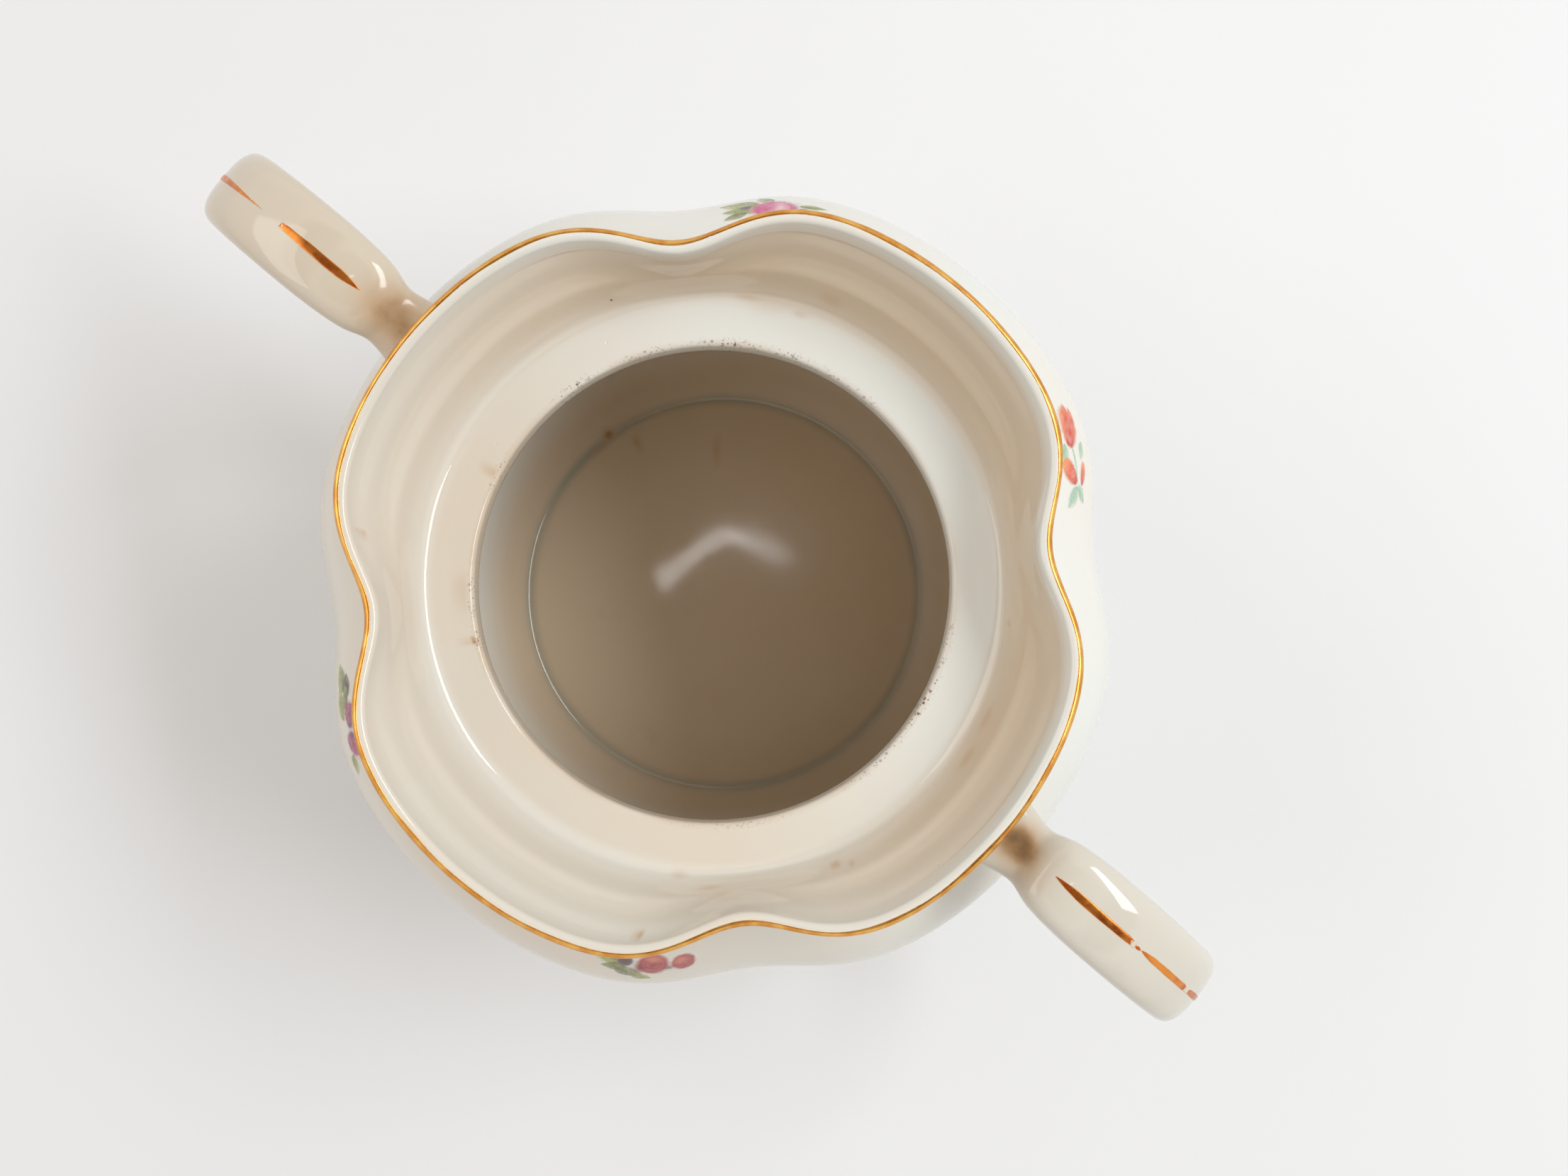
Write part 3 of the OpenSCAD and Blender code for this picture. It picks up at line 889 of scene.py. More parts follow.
    def mouth_age_and_shade(self, angle: Array, rows: Array) -> Array:
        """How far the ledge and the funnel above it are yellowed and painted with shade, most where the
        funnel rises.

        Args:
            angle: Degrees round the axis.
            rows: Profile rows.

        Returns:
            The age at every point.
        """
        radius, side = rows[..., 0], self.sided(angle)
        shelf = smoothstep(self.hole_r + 7, self.hole_r + 4.5, radius)
        # The funnel's rising wall is painted darker as shade, less so near the lip.
        rise = smoothstep(self.hole_r + 4.5, self.hole_r + 9, radius) - 0.4 * smoothstep(41, 44.5, radius)
        age = blend(side, *self.ledge_age_shade) * shelf + blend(side, *self.funnel_age_shade) * (1 - shelf)
        return age + 0.45 * rise

    def weathering(self, angle: Array, rows: Array, zone: Array) -> dict[str, Array]:
        """How the glaze is yellowed, marked and painted with shade, point by point.

        Args:
            angle: Degrees round the axis.
            rows: Profile rows, one axis more than angle.
            zone: The rows' zones.

        Returns:
            The attributes "age", "smudge", "grime", "pool" and "bare".
        """
        radius, level = rows[..., 0], rows[..., 1]
        mouth = (zone == Zone.FUNNEL.value) | (zone == Zone.LEDGE.value)
        cavity = zone == Zone.CAVITY.value
        floor = cavity & (level < self.floor_top)
        age = np.where(mouth, self.mouth_age_and_shade(angle, rows), self.outer_age_and_shade(angle))
        age = np.where(cavity, self.inner_age_and_shade(angle, rows), age)
        edge = bump(radius, self.hole_r + 0.35, 0.4) * mouth
        crumbs = sum(strength * bump((angle - middle + 180) % 360, 180, reach)
                     for middle, reach, strength in EDGE_CRUMBS)
        edge_line = bump(radius, self.hole_r + 0.3, 0.3) * mouth * (0.16 + 0.12 * around(angle, 23, 17))
        smudge = marked(FUNNEL_MARKS, angle, radius) * (mouth & (radius > self.hole_r + 0.4))
        # The floor's marks: brown stains, and broad painted shade on its window side.
        smudge = smudge + marked(FLOOR_MARKS, angle, radius) * floor
        pool = bump(radius, self.foot_r - 2.8, 0.8) * floor * (0.42 + 0.12 * around(angle, 29, 9))
        return {
            "age": age, "smudge": np.clip(smudge + edge_line, 0, 1), "pool": np.clip(pool, 0, 1),
            "grime": np.clip(edge * crumbs, 0, 1),
            "bare": smoothstep(0.35, 0.1, level) * np.ones_like(angle),
        }

    def build(self, glaze: bpy.types.Material) -> bpy.types.Object:
        """Makes the body as one closed surface with a pole under the base and one on the floor.

        Args:
            glaze: Its finish.

        Returns:
            The body piece.
        """
        rows, zone = self.profile()
        rows = rows[:, None, :]
        angle = np.arange(self.columns)[None, :] * 360 / self.columns
        points = self.point(angle, rows)
        marks = self.weathering(angle, rows, zone[:, None])
        count = len(rows) * self.columns
        poles = np.array([[0, 0, self.base_z], [0, 0, self.floor_z]])
        mesh = Mesh()
        quads = np.concatenate([
            grid_quads(len(rows), self.columns), fan(count, 0, self.columns, True),
            fan(count + 1, count - self.columns, self.columns, False),
        ])
        mesh.add(np.concatenate([points.reshape(-1, 3), poles]), quads,
                 **{name: np.append(mark.ravel(), mark[[0, -1], 0]) for name, mark in marks.items()})
        return mesh.piece("body_glazed", glaze)

    def lip_gold(self, gold: bpy.types.Material) -> bpy.types.Object:
        """Makes the gold line: a thin lens-shaped band over the lip's outer half, with a hand-drawn edge.

        Args:
            gold: Its finish.

        Returns:
            The gold line piece.
        """
        columns, across, sunk = 720, 13, -0.03
        angle = (np.arange(columns) * 360 / columns)[None, :]
        first = -16 + 6 * around(angle, 41, 24)
        last = 85 + 6 * around(angle, 43, 30)
        u = np.linspace(0, 1, across)[:, None]
        turn = first + (last - first) * u
        lift = 0.015 + 0.05 * np.sin(math.pi * u) ** 0.5
        top = self.lip_point(angle, turn, lift)
        under = self.lip_point(angle, turn[::-1], sunk)
        edge = np.abs(2 * u - 1)
        wear = 0.12 + 0.34 * edge**6 + 0.22 * np.clip(around(angle, 47, 40), 0, 1) * (u > 0.55)
        wear = np.broadcast_to(wear, (across, columns))
        mesh = Mesh()
        mesh.add(np.concatenate([top, under]), grid_quads(2 * across, columns, wrap_rows=True),
                 wear=np.concatenate([wear, wear[::-1]]))
        return mesh.piece("lip_gold_line", gold)

    def lip_point(self, angle: Array, turn: Array, lift: float | Array) -> Array:
        """A point on or near the rounded lip."""
        return self.point(angle, self.lip_row(turn, lift))


# ---- handles ------------------------------------------------------------------------------------------


class Side(Enum):
    """The two handles: how far each is turned round the body, in degrees."""

    LEFT = 180.0
    RIGHT = -1.1

    @property
    def label(self) -> str:
        """The side's name in piece names."""
        return self.name.lower()

    def turned(self, points: Array) -> Array:
        """Turns points of a handle that lies along +X to this side.

        Args:
            points: Points in millimetres.

        Returns:
            The turned points.
        """
        cos, sin = math.cos(math.radians(self.value)), math.sin(math.radians(self.value))
        x, y, z = np.moveaxis(points, -1, 0)
        return np.stack([x * cos - y * sin, x * sin + y * cos, z], -1)


@dataclass(frozen=True)
class Root:
    """One end of a handle: the range of s where it meets the wall, and how wide its slip fillet is."""

    label: str
    start: float
    stop: float
    fillet: float


class Saddle(NamedTuple):
    """How one handle looks: its yellowing, and the brown mark's middle, strength and reach in the saddle by
    the lip.
    """

    age: float
    middle: float
    core: float
    reach: float


SADDLES = {Side.LEFT: Saddle(0.75, 52.4, 0.6, 3.4), Side.RIGHT: Saddle(0.45, 51.0, 0.85, 2.5)}


@dataclass(frozen=True)
class Stroke:
    """One brush stroke along a handle's back.

    It runs from first to last in s, is pointed over the first share of its length, and narrows by taper
    towards its end. Each wear row is [where, reach, strength], as shares of the length.
    """

    first: float
    last: float
    width: float
    point: float
    taper: float
    seed: int
    wear: tuple[tuple[float, float, float], ...] = ()


STROKES = {
    Side.LEFT: (
        Stroke(4.1, 5.98, 1.15, 0.3, 0.25, 60, ((1.0, 0.1, 0.45), (0.42, 0.05, 0.12))),
        Stroke(6.42, 10.2, 0.85, 0.3, 0.1, 66, ((0.0, 0.22, 0.5), (0.3, 0.08, 0.16), (1.0, 0.08, 0.5))),
    ),
    Side.RIGHT: (
        Stroke(4.03, 6.0, 1.1, 0.32, 0.15, 70, ((0.93, 0.06, 0.3), (1.0, 0.05, 0.5))),
        Stroke(6.1, 10.2, 0.85, 0.08, 0.15, 75, ((0.0, 0.03, 0.5), (0.32, 0.04, 0.6), (1.0, 0.04, 0.5))),
        Stroke(5.98, 6.12, 0.5, 0.5, 0.5, 81, ((0.4, 0.5, 0.3),)),
    ),
}


@dataclass(frozen=True)
class Handle:
    """A cast strap handle: a rounded-rectangle section carried along a curve in the plane of +X and +Z."""

    side: Side
    wall: Wall
    half_w: float = 5.75
    half_t: float = 3.2
    reach: float = 84.8
    power: float = 3.0
    columns: int = 96
    stations: int = 230
    upper: Root = Root("upper", 0.0, 3.4, 1.5)
    lower: Root = Root("lower", 15.0, 12.6, 2.2)
    sink: float = 0.12
    pooling: float = 0.1

    def keys(self) -> Array:
        """Rows along the handle: x, z, half width and half thickness.

        Returns:
            The rows.
        """
        a, b, nz = self.half_w, self.half_t, self.wall.neck_z
        return np.array([
            [36.5, nz - 2.6, a + 0.6, b + 0.1], [42.5, nz - 2.4, a + 0.5, b - 0.1],
            [48, nz - 1.7, a - 0.2, b - 0.35], [53.6, nz - 0.2, a - 1.5, b - 0.3],
            [57.2, nz + 2, a - 0.5, b + 0.2], [61.8, nz + 2.9, a - 0.1, b + 0.1],
            [68.5, nz + 2, a, b], [76, nz - 1.3, a, b], [82, nz - 7.2, a, b - 0.1],
            [self.reach, nz - 15, a - 0.1, b - 0.15], [self.reach - 1.2, nz - 23.5, a - 0.3, b - 0.2],
            [79, nz - 31.5, a - 0.5, b - 0.25], [72.3, nz - 38.2, a - 0.7, b - 0.3],
            [64.5, nz - 43, a - 0.8, b - 0.3], [56.5, nz - 46, a - 0.5, b - 0.2], [48, nz - 48, a, b],
        ])

    def beside(self, s: Array, across: Array, out: Array) -> Array:
        """A point beside the strap's centreline.

        Args:
            s: Where along the strap, counted in keys.
            across: Millimetres across it, along +Y.
            out: Millimetres out from it, square to it, on its back.

        Returns:
            Points in millimetres.
        """
        keys = self.keys()
        step = 0.02
        ahead = spline(keys, s + step)[..., :2] - spline(keys, s - step)[..., :2]
        ahead = ahead / np.linalg.norm(ahead, axis=-1, keepdims=True)
        centre = spline(keys, s)
        return np.stack(np.broadcast_arrays(centre[..., 0] - ahead[..., 1] * out, across,
                                            centre[..., 1] + ahead[..., 0] * out), -1)

    def skin(self, s: Array, turn: Array, grow: float = 0.0) -> Array:
        """A point of the strap's surface, whose section is a superellipse: |y/a|^p + |h/b|^p = 1.

        Args:
            s: Where along the strap, counted in keys.
            turn: Degrees round the section, from +Y over its back.
            grow: How much thicker than the strap, each way.

        Returns:
            Points in millimetres.
        """
        rows = spline(self.keys(), s)
        c, d = np.cos(np.radians(turn)), np.sin(np.radians(turn))
        bend = 2 / self.power
        across = (rows[..., 2] + grow) * np.sign(c) * np.abs(c) ** bend
        out = (rows[..., 3] + grow) * np.sign(d) * np.abs(d) ** bend
        return self.beside(s, across, out)

    def back(self, s: Array, across: Array, lift: Array) -> Array:
        """A point on the strap's back.

        Args:
            s: Where along the strap, counted in keys.
            across: Millimetres across it.
            lift: How far off it.

        Returns:
            Points in millimetres.
        """
        rows = spline(self.keys(), s)
        share = np.clip(np.abs(across) / rows[..., 2], 0, 1)
        return self.beside(s, across, rows[..., 3] * (1 - share**self.power) ** (1 / self.power) + lift)

    def turns(self) -> Array:
        """Angles round the section, packed where its corners bend most."""
        even = np.arange(self.columns) * 360 / self.columns
        return even + 9 * np.sin(np.radians(4 * even))

    def meets(self, root: Root, grow: float = 0.0) -> Array:
        """Finds where each line along the strap enters the wall.

        Args:
            root: Which end.
            grow: How much thicker than the strap, each way.

        Returns:
            One s for every turn.
        """
        s = np.linspace(root.start, root.stop, 500)
        points = self.side.turned(self.skin(s[:, None], self.turns()[None, :], grow))
        buried = self.wall.excess(points) < 0
        last = len(s) - 1 - np.argmax(buried[::-1], 0)
        return s[last]

    def weathering(self, points: Array) -> dict[str, Array]:
        """How the glaze is yellowed all over and browned in the saddle by the lip, point by point.

        Args:
            points: Points in millimetres, before they are turned to a side.

        Returns:
            The attributes "age", "smudge", "grime", "pool" and "bare".
        """
        x, y, z = np.moveaxis(points, -1, 0)
        saddle = SADDLES[self.side]
        # A brown mark in the saddle by the lip, with a faint wider halo round it, on the strap's upper part
        # only.
        away = ((x - saddle.middle) / saddle.reach) ** 2 + (y / saddle.reach) ** 2
        halo = 0.2 * np.exp(-((x - 50.5) / 5.5) ** 2 - (y / 6) ** 2)
        smudge = saddle.core * np.exp(-away**1.3) + halo
        if self.side is Side.RIGHT:
            smudge = smudge + 0.16 * np.exp(-((x - 54.2) / 1.6) ** 2 - ((y + 2.2) / 1.8) ** 2)
        smudge = smudge * smoothstep(self.wall.neck_z - 4, self.wall.neck_z - 1, z)
        return {
            "age": np.full(x.shape, saddle.age), "smudge": smudge, "grime": 0 * x,
            "pool": np.full(x.shape, self.pooling), "bare": 0 * x,
        }

    def build(self, glaze: bpy.types.Material) -> bpy.types.Object:
        """Makes the strap from just inside the wall at its upper root to just inside at its lower one.

        Args:
            glaze: Its finish.

        Returns:
            The strap piece.
        """
        first = self.meets(self.upper)[None, :] - self.sink
        last = self.meets(self.lower)[None, :] + self.sink
        s = first + (last - first) * np.linspace(0, 1, self.stations)[:, None]
        local = self.skin(s, self.turns()[None, :])
        local = np.concatenate([local.reshape(-1, 3), local[0].mean(0)[None], local[-1].mean(0)[None]])
        count = self.stations * self.columns
        quads = np.concatenate([
            grid_quads(self.stations, self.columns), fan(count, 0, self.columns, True),
            fan(count + 1, count - self.columns, self.columns, False),
        ])
        mesh = Mesh()
        mesh.add(self.side.turned(local), quads, **self.weathering(local))
        return mesh.piece(f"{self.side.label}_strap", glaze)

    def slip(self, root: Root, glaze: bpy.types.Material) -> bpy.types.Object:
        """Makes the slip fillet at one root.

        Round the root runs a hollow curve, a quadratic Bezier from a line on the strap to a line on the
        wall, with its control point in the corner between them. Two hidden rows close it behind. Its
        yellowing and painted shade run from the strap's to the wall's.

        Args:
            root: Which end.
            glaze: Its finish.

        Returns:
            The fillet piece.
        """
        away = 1 if root.stop > root.start else -1
        turn, step = self.turns(), 0.05
        corner_s, wall_s = self.meets(root), self.meets(root, root.fillet)
        corner = self.skin(corner_s, turn)
        moved = self.skin(corner_s + step, turn) - self.skin(corner_s - step, turn)
        strap_s = corner_s + away * root.fillet / (np.linalg.norm(moved, axis=-1) / (2 * step))
        on_strap = self.skin(strap_s, turn, 0.01)
        on_wall = self.skin(wall_s, turn, root.fillet)
        w = np.linspace(0, 1, 12)[:, None, None]
        hollow = (1 - w) ** 2 * on_strap + 2 * w * (1 - w) * corner + w**2 * on_wall
        buried = self.skin(wall_s - away * 0.1, turn, root.fillet - 0.4)
        within = self.skin(strap_s, turn, -0.5)
        rows = np.concatenate([hollow, buried[None], within[None]])
        to_wall = np.append(w, [1, 0])[:, None]
        if away > 0:
            rows, to_wall = rows[::-1], to_wall[::-1]
        points, worn = self.side.turned(rows), self.weathering(rows)
        wall_age_and_shade = self.wall.outer_age_and_shade(np.degrees(np.arctan2(points[..., 1], points[..., 0])))
        worn["age"] = blend(to_wall, worn["age"], wall_age_and_shade)
        worn["pool"] = worn["pool"] * (1 - to_wall)
        mesh = Mesh()
        mesh.add(points, grid_quads(len(rows), self.columns, wrap_rows=True), **worn)
        return mesh.piece(f"{self.side.label}_{root.label}_slip_fillet", glaze)

    def stroke(self, mesh: Mesh, stroke: Stroke) -> None:
        """Adds one brush stroke of gold to a mesh, thin at its edges and slightly uneven.

        Args:
            mesh: Where it goes.
            stroke: Its place, width and wear.
        """
        rows, cols = 120, 13
        u = np.linspace(0, 1, rows)[:, None]
        v = np.linspace(-1, 1, cols)[None, :]
        s = stroke.first + (stroke.last - stroke.first) * u
        swell = np.clip(u / stroke.point, 0.004, 1) ** 0.7 * (1 - stroke.taper * smoothstep(0.55, 1, u))
        sway = 0.05 * ripple(s * 6, 0 * s, stroke.seed, 5, 5)
        ragged = 1 + 0.06 * ripple(s * 6, v * 2, stroke.seed + 1, 6, 1.5)
        across = stroke.width / 2 * swell * v * ragged + sway
        top = self.back(s, across, 0.012 + 0.045 * np.sqrt(1 - v**2 * 0.999))
        under = self.back(s, across[:, ::-1], -0.03)
        wear = 0.06 + 0.25 * np.abs(v) ** 6 + sum(
            strength * bump(u, middle, reach) for middle, reach, strength in stroke.wear)
        ring = np.concatenate([top, under], 1)
        mesh.add(self.side.turned(ring), np.concatenate([
            grid_quads(rows, 2 * cols)[:, ::-1],
            self.cap(0, cols, False), self.cap((rows - 1) * 2 * cols, cols, True),
        ]), wear=np.concatenate([wear, wear[:, ::-1]], 1))

    @staticmethod
    def cap(start: int, cols: int, flip: bool) -> Array:
        """Closes a stroke's end with a strip of quads between its top and under rows.

        Args:
            start: The number of the end ring's first point.
            cols: How many points its top row has.
            flip: Whether the strip faces the stroke's far end.

        Returns:
            One row of four point numbers per quad.
        """
        i = np.arange(cols - 1)
        quads = start + np.stack([i, i + 1, 2 * cols - 2 - i, 2 * cols - 1 - i], -1)
        return quads[:, ::-1] if flip else quads

    def gilding(self, gold: bpy.types.Material) -> bpy.types.Object:
        """Makes the gold strokes on the strap's back, with the rubbed gap between them.

        Args:
            gold: Their finish.

        Returns:
            The strokes as one piece.
        """
        mesh = Mesh()
        for stroke in STROKES[self.side]:
            self.stroke(mesh, stroke)
        return mesh.piece(f"{self.side.label}_gold_strokes", gold)


# ---- flower transfers -----------------------------------------------------------------------------------


PORCELAIN = np.array(linear(232, 232, 226))


class Kind(Enum):
    """What a printed shape is."""

    LEAF = "leaf"
    STEM = "stem"
    PETAL = "petal"
    TULIP = "tulip"
    ROSE = "rose"
    BLUSH = "blush"


class Inks(Enum):
    """Sets of three colours for one shape: its lights, its body and its depths."""

    ORANGE = (linear(246, 150, 80), linear(230, 92, 38), linear(198, 52, 46))
    PALE_GREEN = (linear(212, 226, 206), linear(178, 208, 182), linear(130, 178, 148))
    LEAF_GREEN = (linear(190, 200, 122), linear(142, 158, 76), linear(102, 114, 54))
    OLIVE = (linear(200, 202, 118), linear(162, 168, 78), linear(106, 112, 56))
    DULL_GREEN = (linear(184, 186, 136), linear(142, 146, 90), linear(90, 90, 58))
    PINK = (linear(244, 208, 222), linear(214, 84, 142), linear(172, 40, 96))
    BLOOM = (linear(250, 226, 232), linear(246, 212, 222), linear(232, 170, 196))
    MAGENTA = (linear(222, 150, 180), linear(188, 88, 124), linear(96, 60, 88))
    VIOLET = (linear(172, 146, 166), linear(122, 98, 112), linear(70, 58, 62))
    CRIMSON = (linear(222, 142, 124), linear(186, 64, 74), linear(122, 32, 44))
    DEEP_RED = (linear(176, 72, 78), linear(140, 34, 46), linear(104, 24, 36))
    PEACH = (linear(238, 190, 158), linear(226, 150, 128), linear(178, 52, 72))
    SEPIA = (linear(140, 124, 96), linear(104, 84, 68), linear(70, 54, 46))
    BLUE = (linear(150, 150, 176), linear(70, 72, 108), linear(44, 44, 70))


# The rings of a rose's petals: how far out, how many, and each petal's length and width in the rose's.
ROSE_RINGS = ((0.3, 6, 0.4, 0.44), (0.17, 5, 0.32, 0.36), (0.07, 3, 0.24, 0.28))
PETAL_STRENGTH = 0.38
# Each side of a grid's cell: the neighbour across it, and the two of its corners that the side joins.
CELL_SIDES = {(-1, 0): (0, 1), (0, 1): (1, 2), (1, 0): (2, 3), (0, -1): (3, 0)}


class Canvas:
    """A flat grid of paint: the colour at every point, and how much of it is covered."""

    def __init__(self, width: float, height: float, step: float) -> None:
        """Starts bare.

        Args:
            width: Millimetres to the right.
            height: Millimetres upwards.
            step: Millimetres between points.
        """
        cells = (round(width / step), round(height / step))
        self.u, self.v = np.meshgrid(*((np.arange(count + 1) - count / 2) * step for count in cells))
        self.colour = np.ones((*self.u.shape, 3)) * PORCELAIN
        self.cover = np.zeros(self.u.shape)

    def brush(self, colour: Array, amount: Array) -> None:
        """Lays a colour over what is there, in the given amount at every point."""
        self.colour += (colour - self.colour) * amount[..., None]
        self.cover = 1 - (1 - self.cover) * (1 - amount)


@dataclass(frozen=True)
class Shape:
    """One printed shape, with its middle u to the right of the spray's middle and v above it."""

    kind: Kind
    inks: Inks
    u: float
    v: float
    length: float
    width: float
    turn: float = 0.0
    strength: float = 1.0

    def local(self, canvas: Canvas) -> tuple[Array, Array]:
        """Turns the canvas's points to the shape's own directions, in which it spans -1 to 1 both ways.

        Args:
            canvas: What it is painted on.

        Returns:
            How far along the shape, and how far across it.
        """
        t = math.radians(self.turn)
        du, dv = canvas.u - self.u, canvas.v - self.v
        return ((du * math.cos(t) + dv * math.sin(t)) * 2 / self.length,
                (dv * math.cos(t) - du * math.sin(t)) * 2 / self.width)

    def half(self, x: Array) -> Array:
        """Half the shape's width, as a power of 1 - x^2 with one end fuller than the other.

        Args:
            x: Along the shape, from -1 to 1.

        Returns:
            The half width, where 1 is the whole of it.
        """
        inside = np.clip(1 - x**2, 0, 1)
        if self.kind is Kind.LEAF:
            return inside**0.85 * (0.98 - 0.22 * x) + 1e-3
        if self.kind is Kind.STEM:
            return np.where(inside > 0, 1.0, 1e-3)
        return inside**0.52 * (0.9 + 0.16 * x) + 1e-3

    def petals(self) -> list["Shape"]:
        """Sets a rose's petals in three rings of cups, each smaller and steeper than the one outside it.

        Returns:
            The petals, from the outside in.
        """
        made = []
        for ring, (out, count, long, wide) in enumerate(ROSE_RINGS):
            for number in range(count):
                a = self.turn + 360 * number / count + 37 * ring
                u = self.u + self.length * out * math.cos(math.radians(a))
                v = self.v + self.width * out * math.sin(math.radians(a))
                size = (self.length * long, self.width * wide)
                made.append(Shape(Kind.PETAL, self.inks, u, v, *size, a, PETAL_STRENGTH))
        return made

    def outline(self, x: Array, y: Array, wash: Array) -> Array:
        """How much of each place the shape covers: soft, slightly uneven, and toothed at a tulip's tip.

        Args:
            x: Along the shape, from -1 to 1.
            y: Across it, from -1 to 1.
            wash: Soft noise.

        Returns:
            The cover, from 0 to 1.
        """
        rim = np.abs(y) / self.half(x)
        cover = smoothstep(1.15, 0.72, rim + 0.08 * wash) * smoothstep(1.04, 0.9, np.abs(x) + 0.02 * wash)
        if self.kind is Kind.TULIP:
            tip = 0.72 + 0.26 * np.abs(np.sin(4.2 * y + 0.5)) + 0.03 * wash
            cover = cover * smoothstep(tip + 0.05, tip - 0.1, x)
        return np.clip(cover * (0.9 + 0.1 * wash), 0, 1)

    def shading(self, x: Array, y: Array, wash: Array) -> tuple[Array, Array]:
        """Where the light and the deep ink lie: veins on leaves, streaks on tulips, folds on petals.

        Args:
            x: Along the shape, from -1 to 1.
            y: Across it, from -1 to 1.
            wash: Soft noise.

        Returns:
            The amounts of light and of deep ink.
        """
        if self.kind in (Kind.LEAF, Kind.STEM):
            pale = 0.75 * smoothstep(0.0, 0.8, x) + 0.35 * smoothstep(0.1, 0.9, y)
            dark = 0.7 * bump(y, 0.04 * np.sin(3 * x), 0.1) + 0.55 * smoothstep(0.15, -0.85, y)
            dark = dark + 0.3 * bump((x * 3.5 + np.abs(y) * 1.2) % 1, 0.5, 0.12)
        elif self.kind is Kind.TULIP:
            pale = 0.9 * smoothstep(0.25, 0.95, y) + 0.5 * smoothstep(0.4, 1, x)
            streak = bump(y, -0.1 + 0.2 * x, 0.13) + 0.6 * bump(y, 0.32 + 0.1 * x, 0.08)
            dark = 0.85 * streak * smoothstep(0.75, -0.1, x) + 0.7 * smoothstep(-0.55, -1, x)
        else:
            pale = 0.95 * smoothstep(-0.05, 0.95, x) + 0.2 * wash
            dark = 0.85 * smoothstep(-0.1, -0.95, x) + 0.3 * smoothstep(0.4, 1.0, np.abs(y)) * (x < 0.3)
        return np.clip(pale, 0, 1), np.clip(dark + 0.08 * wash, 0, 1)

    def paint(self, canvas: Canvas, seed: int) -> None:
        """Paints the shape.

        Args:
            canvas: What it is painted on.
            seed: Chooses the brushwork.
        """
        light, body, deep = (np.array(ink) for ink in self.inks.value)
        x, y = self.local(canvas)
        if self.kind is Kind.BLUSH:
            canvas.brush(body, 0.8 * np.exp(-(x**2 + y**2) * 1.6))
            return
        wash = ripple(canvas.u, canvas.v, seed, 12, 0.5)
        if self.kind is Kind.ROSE:
            ground = smoothstep(0.98, 0.7, np.hypot(x, y) + 0.05 * wash)
            canvas.brush(blend(0.45, deep, body), 0.9 * ground)
            for number, petal in enumerate(self.petals()):
                petal.paint(canvas, seed + 7 * number + 1)
            return
        if self.kind is Kind.STEM:
            y = y + 1.2 * (x**2 - 0.4)
        pale, dark = self.shading(x, y, wash)
        colour = blend(dark[..., None], blend(pale[..., None], body, light), deep)
        canvas.brush(colour, self.outline(x, y, wash) * self.strength)


@dataclass(frozen=True)
class Transfer:
    """A printed spray: shapes painted on a film that follows the outside of the wall round one spot."""

    name: str
    wall: Wall
    angle: float
    s: float
    size: tuple[float, float]
    shapes: tuple[Shape, ...]
    step: float = 0.13
    lift: float = 0.045
    sunk: float = -0.06
    least_cover: float = 0.04

    def lay(self, u: Array, v: Array, lift: float | Array) -> Array:
        """Lays flat coordinates on the wall.

        Args:
            u: Millimetres to the right of the middle.
            v: Millimetres above it.
            lift: How far off the wall.

        Returns:
            Points in millimetres.
        """
        keys = self.wall.outer_keys()
        middle = spline(keys, np.array(self.s))
        step = 0.05
        slope = spline(keys, np.array(self.s + step)) - spline(keys, np.array(self.s - step))
        rate = float(np.hypot(slope[0], slope[1])) / (2 * step)
        return self.wall.outside(self.angle + np.degrees(u / middle[0]), self.s + v / rate, lift)

    def build(self, enamel: bpy.types.Material) -> bpy.types.Object:
        """Makes the spray: the painted part of the grid on top, a hidden sheet under it, and its edge.

        Args:
            enamel: Its finish.

        Returns:
            The transfer piece.
        """
        canvas = Canvas(*self.size, self.step)
        for number, shape in enumerate(self.shapes):
            shape.paint(canvas, 100 + 50 * number)
        rows, cols = canvas.u.shape
        count = rows * cols
        film = smoothstep(0.0, 0.35, canvas.cover)
        points = np.concatenate([self.lay(canvas.u, canvas.v, self.sunk).reshape(-1, 3),
                                 self.lay(canvas.u, canvas.v, self.lift * film).reshape(-1, 3)])
        quads = grid_quads(rows, cols, wrap_cols=False)
        kept = canvas.cover.ravel()[quads].max(-1) > self.least_cover
        held = np.pad(kept.reshape(rows - 1, cols - 1), 1)
        top, under = quads[kept] + count, quads[kept][:, ::-1]
        walls = []
        for (down, right), (a, b) in CELL_SIDES.items():
            open_side = kept & ~held[1 + down:rows + down, 1 + right:cols + right].ravel()
            edge = quads[open_side]
            walls.append(np.stack([edge[:, a], edge[:, b], edge[:, b] + count, edge[:, a] + count], -1))
        faces = np.concatenate([under, top, *walls])
        used, place = np.unique(faces, return_inverse=True)
        colours = np.concatenate([canvas.colour.reshape(-1, 3)] * 2)
        mesh = Mesh()
        mesh.add(points[used], place.reshape(faces.shape), paint=colours[used])
        return mesh.piece(self.name, enamel)


def spray(*rows: tuple) -> tuple[Shape, ...]:
    """Makes shapes from rows of kind, inks, u, v, length, width and, where it is turned, turn."""
    return tuple(Shape(*row) for row in rows)


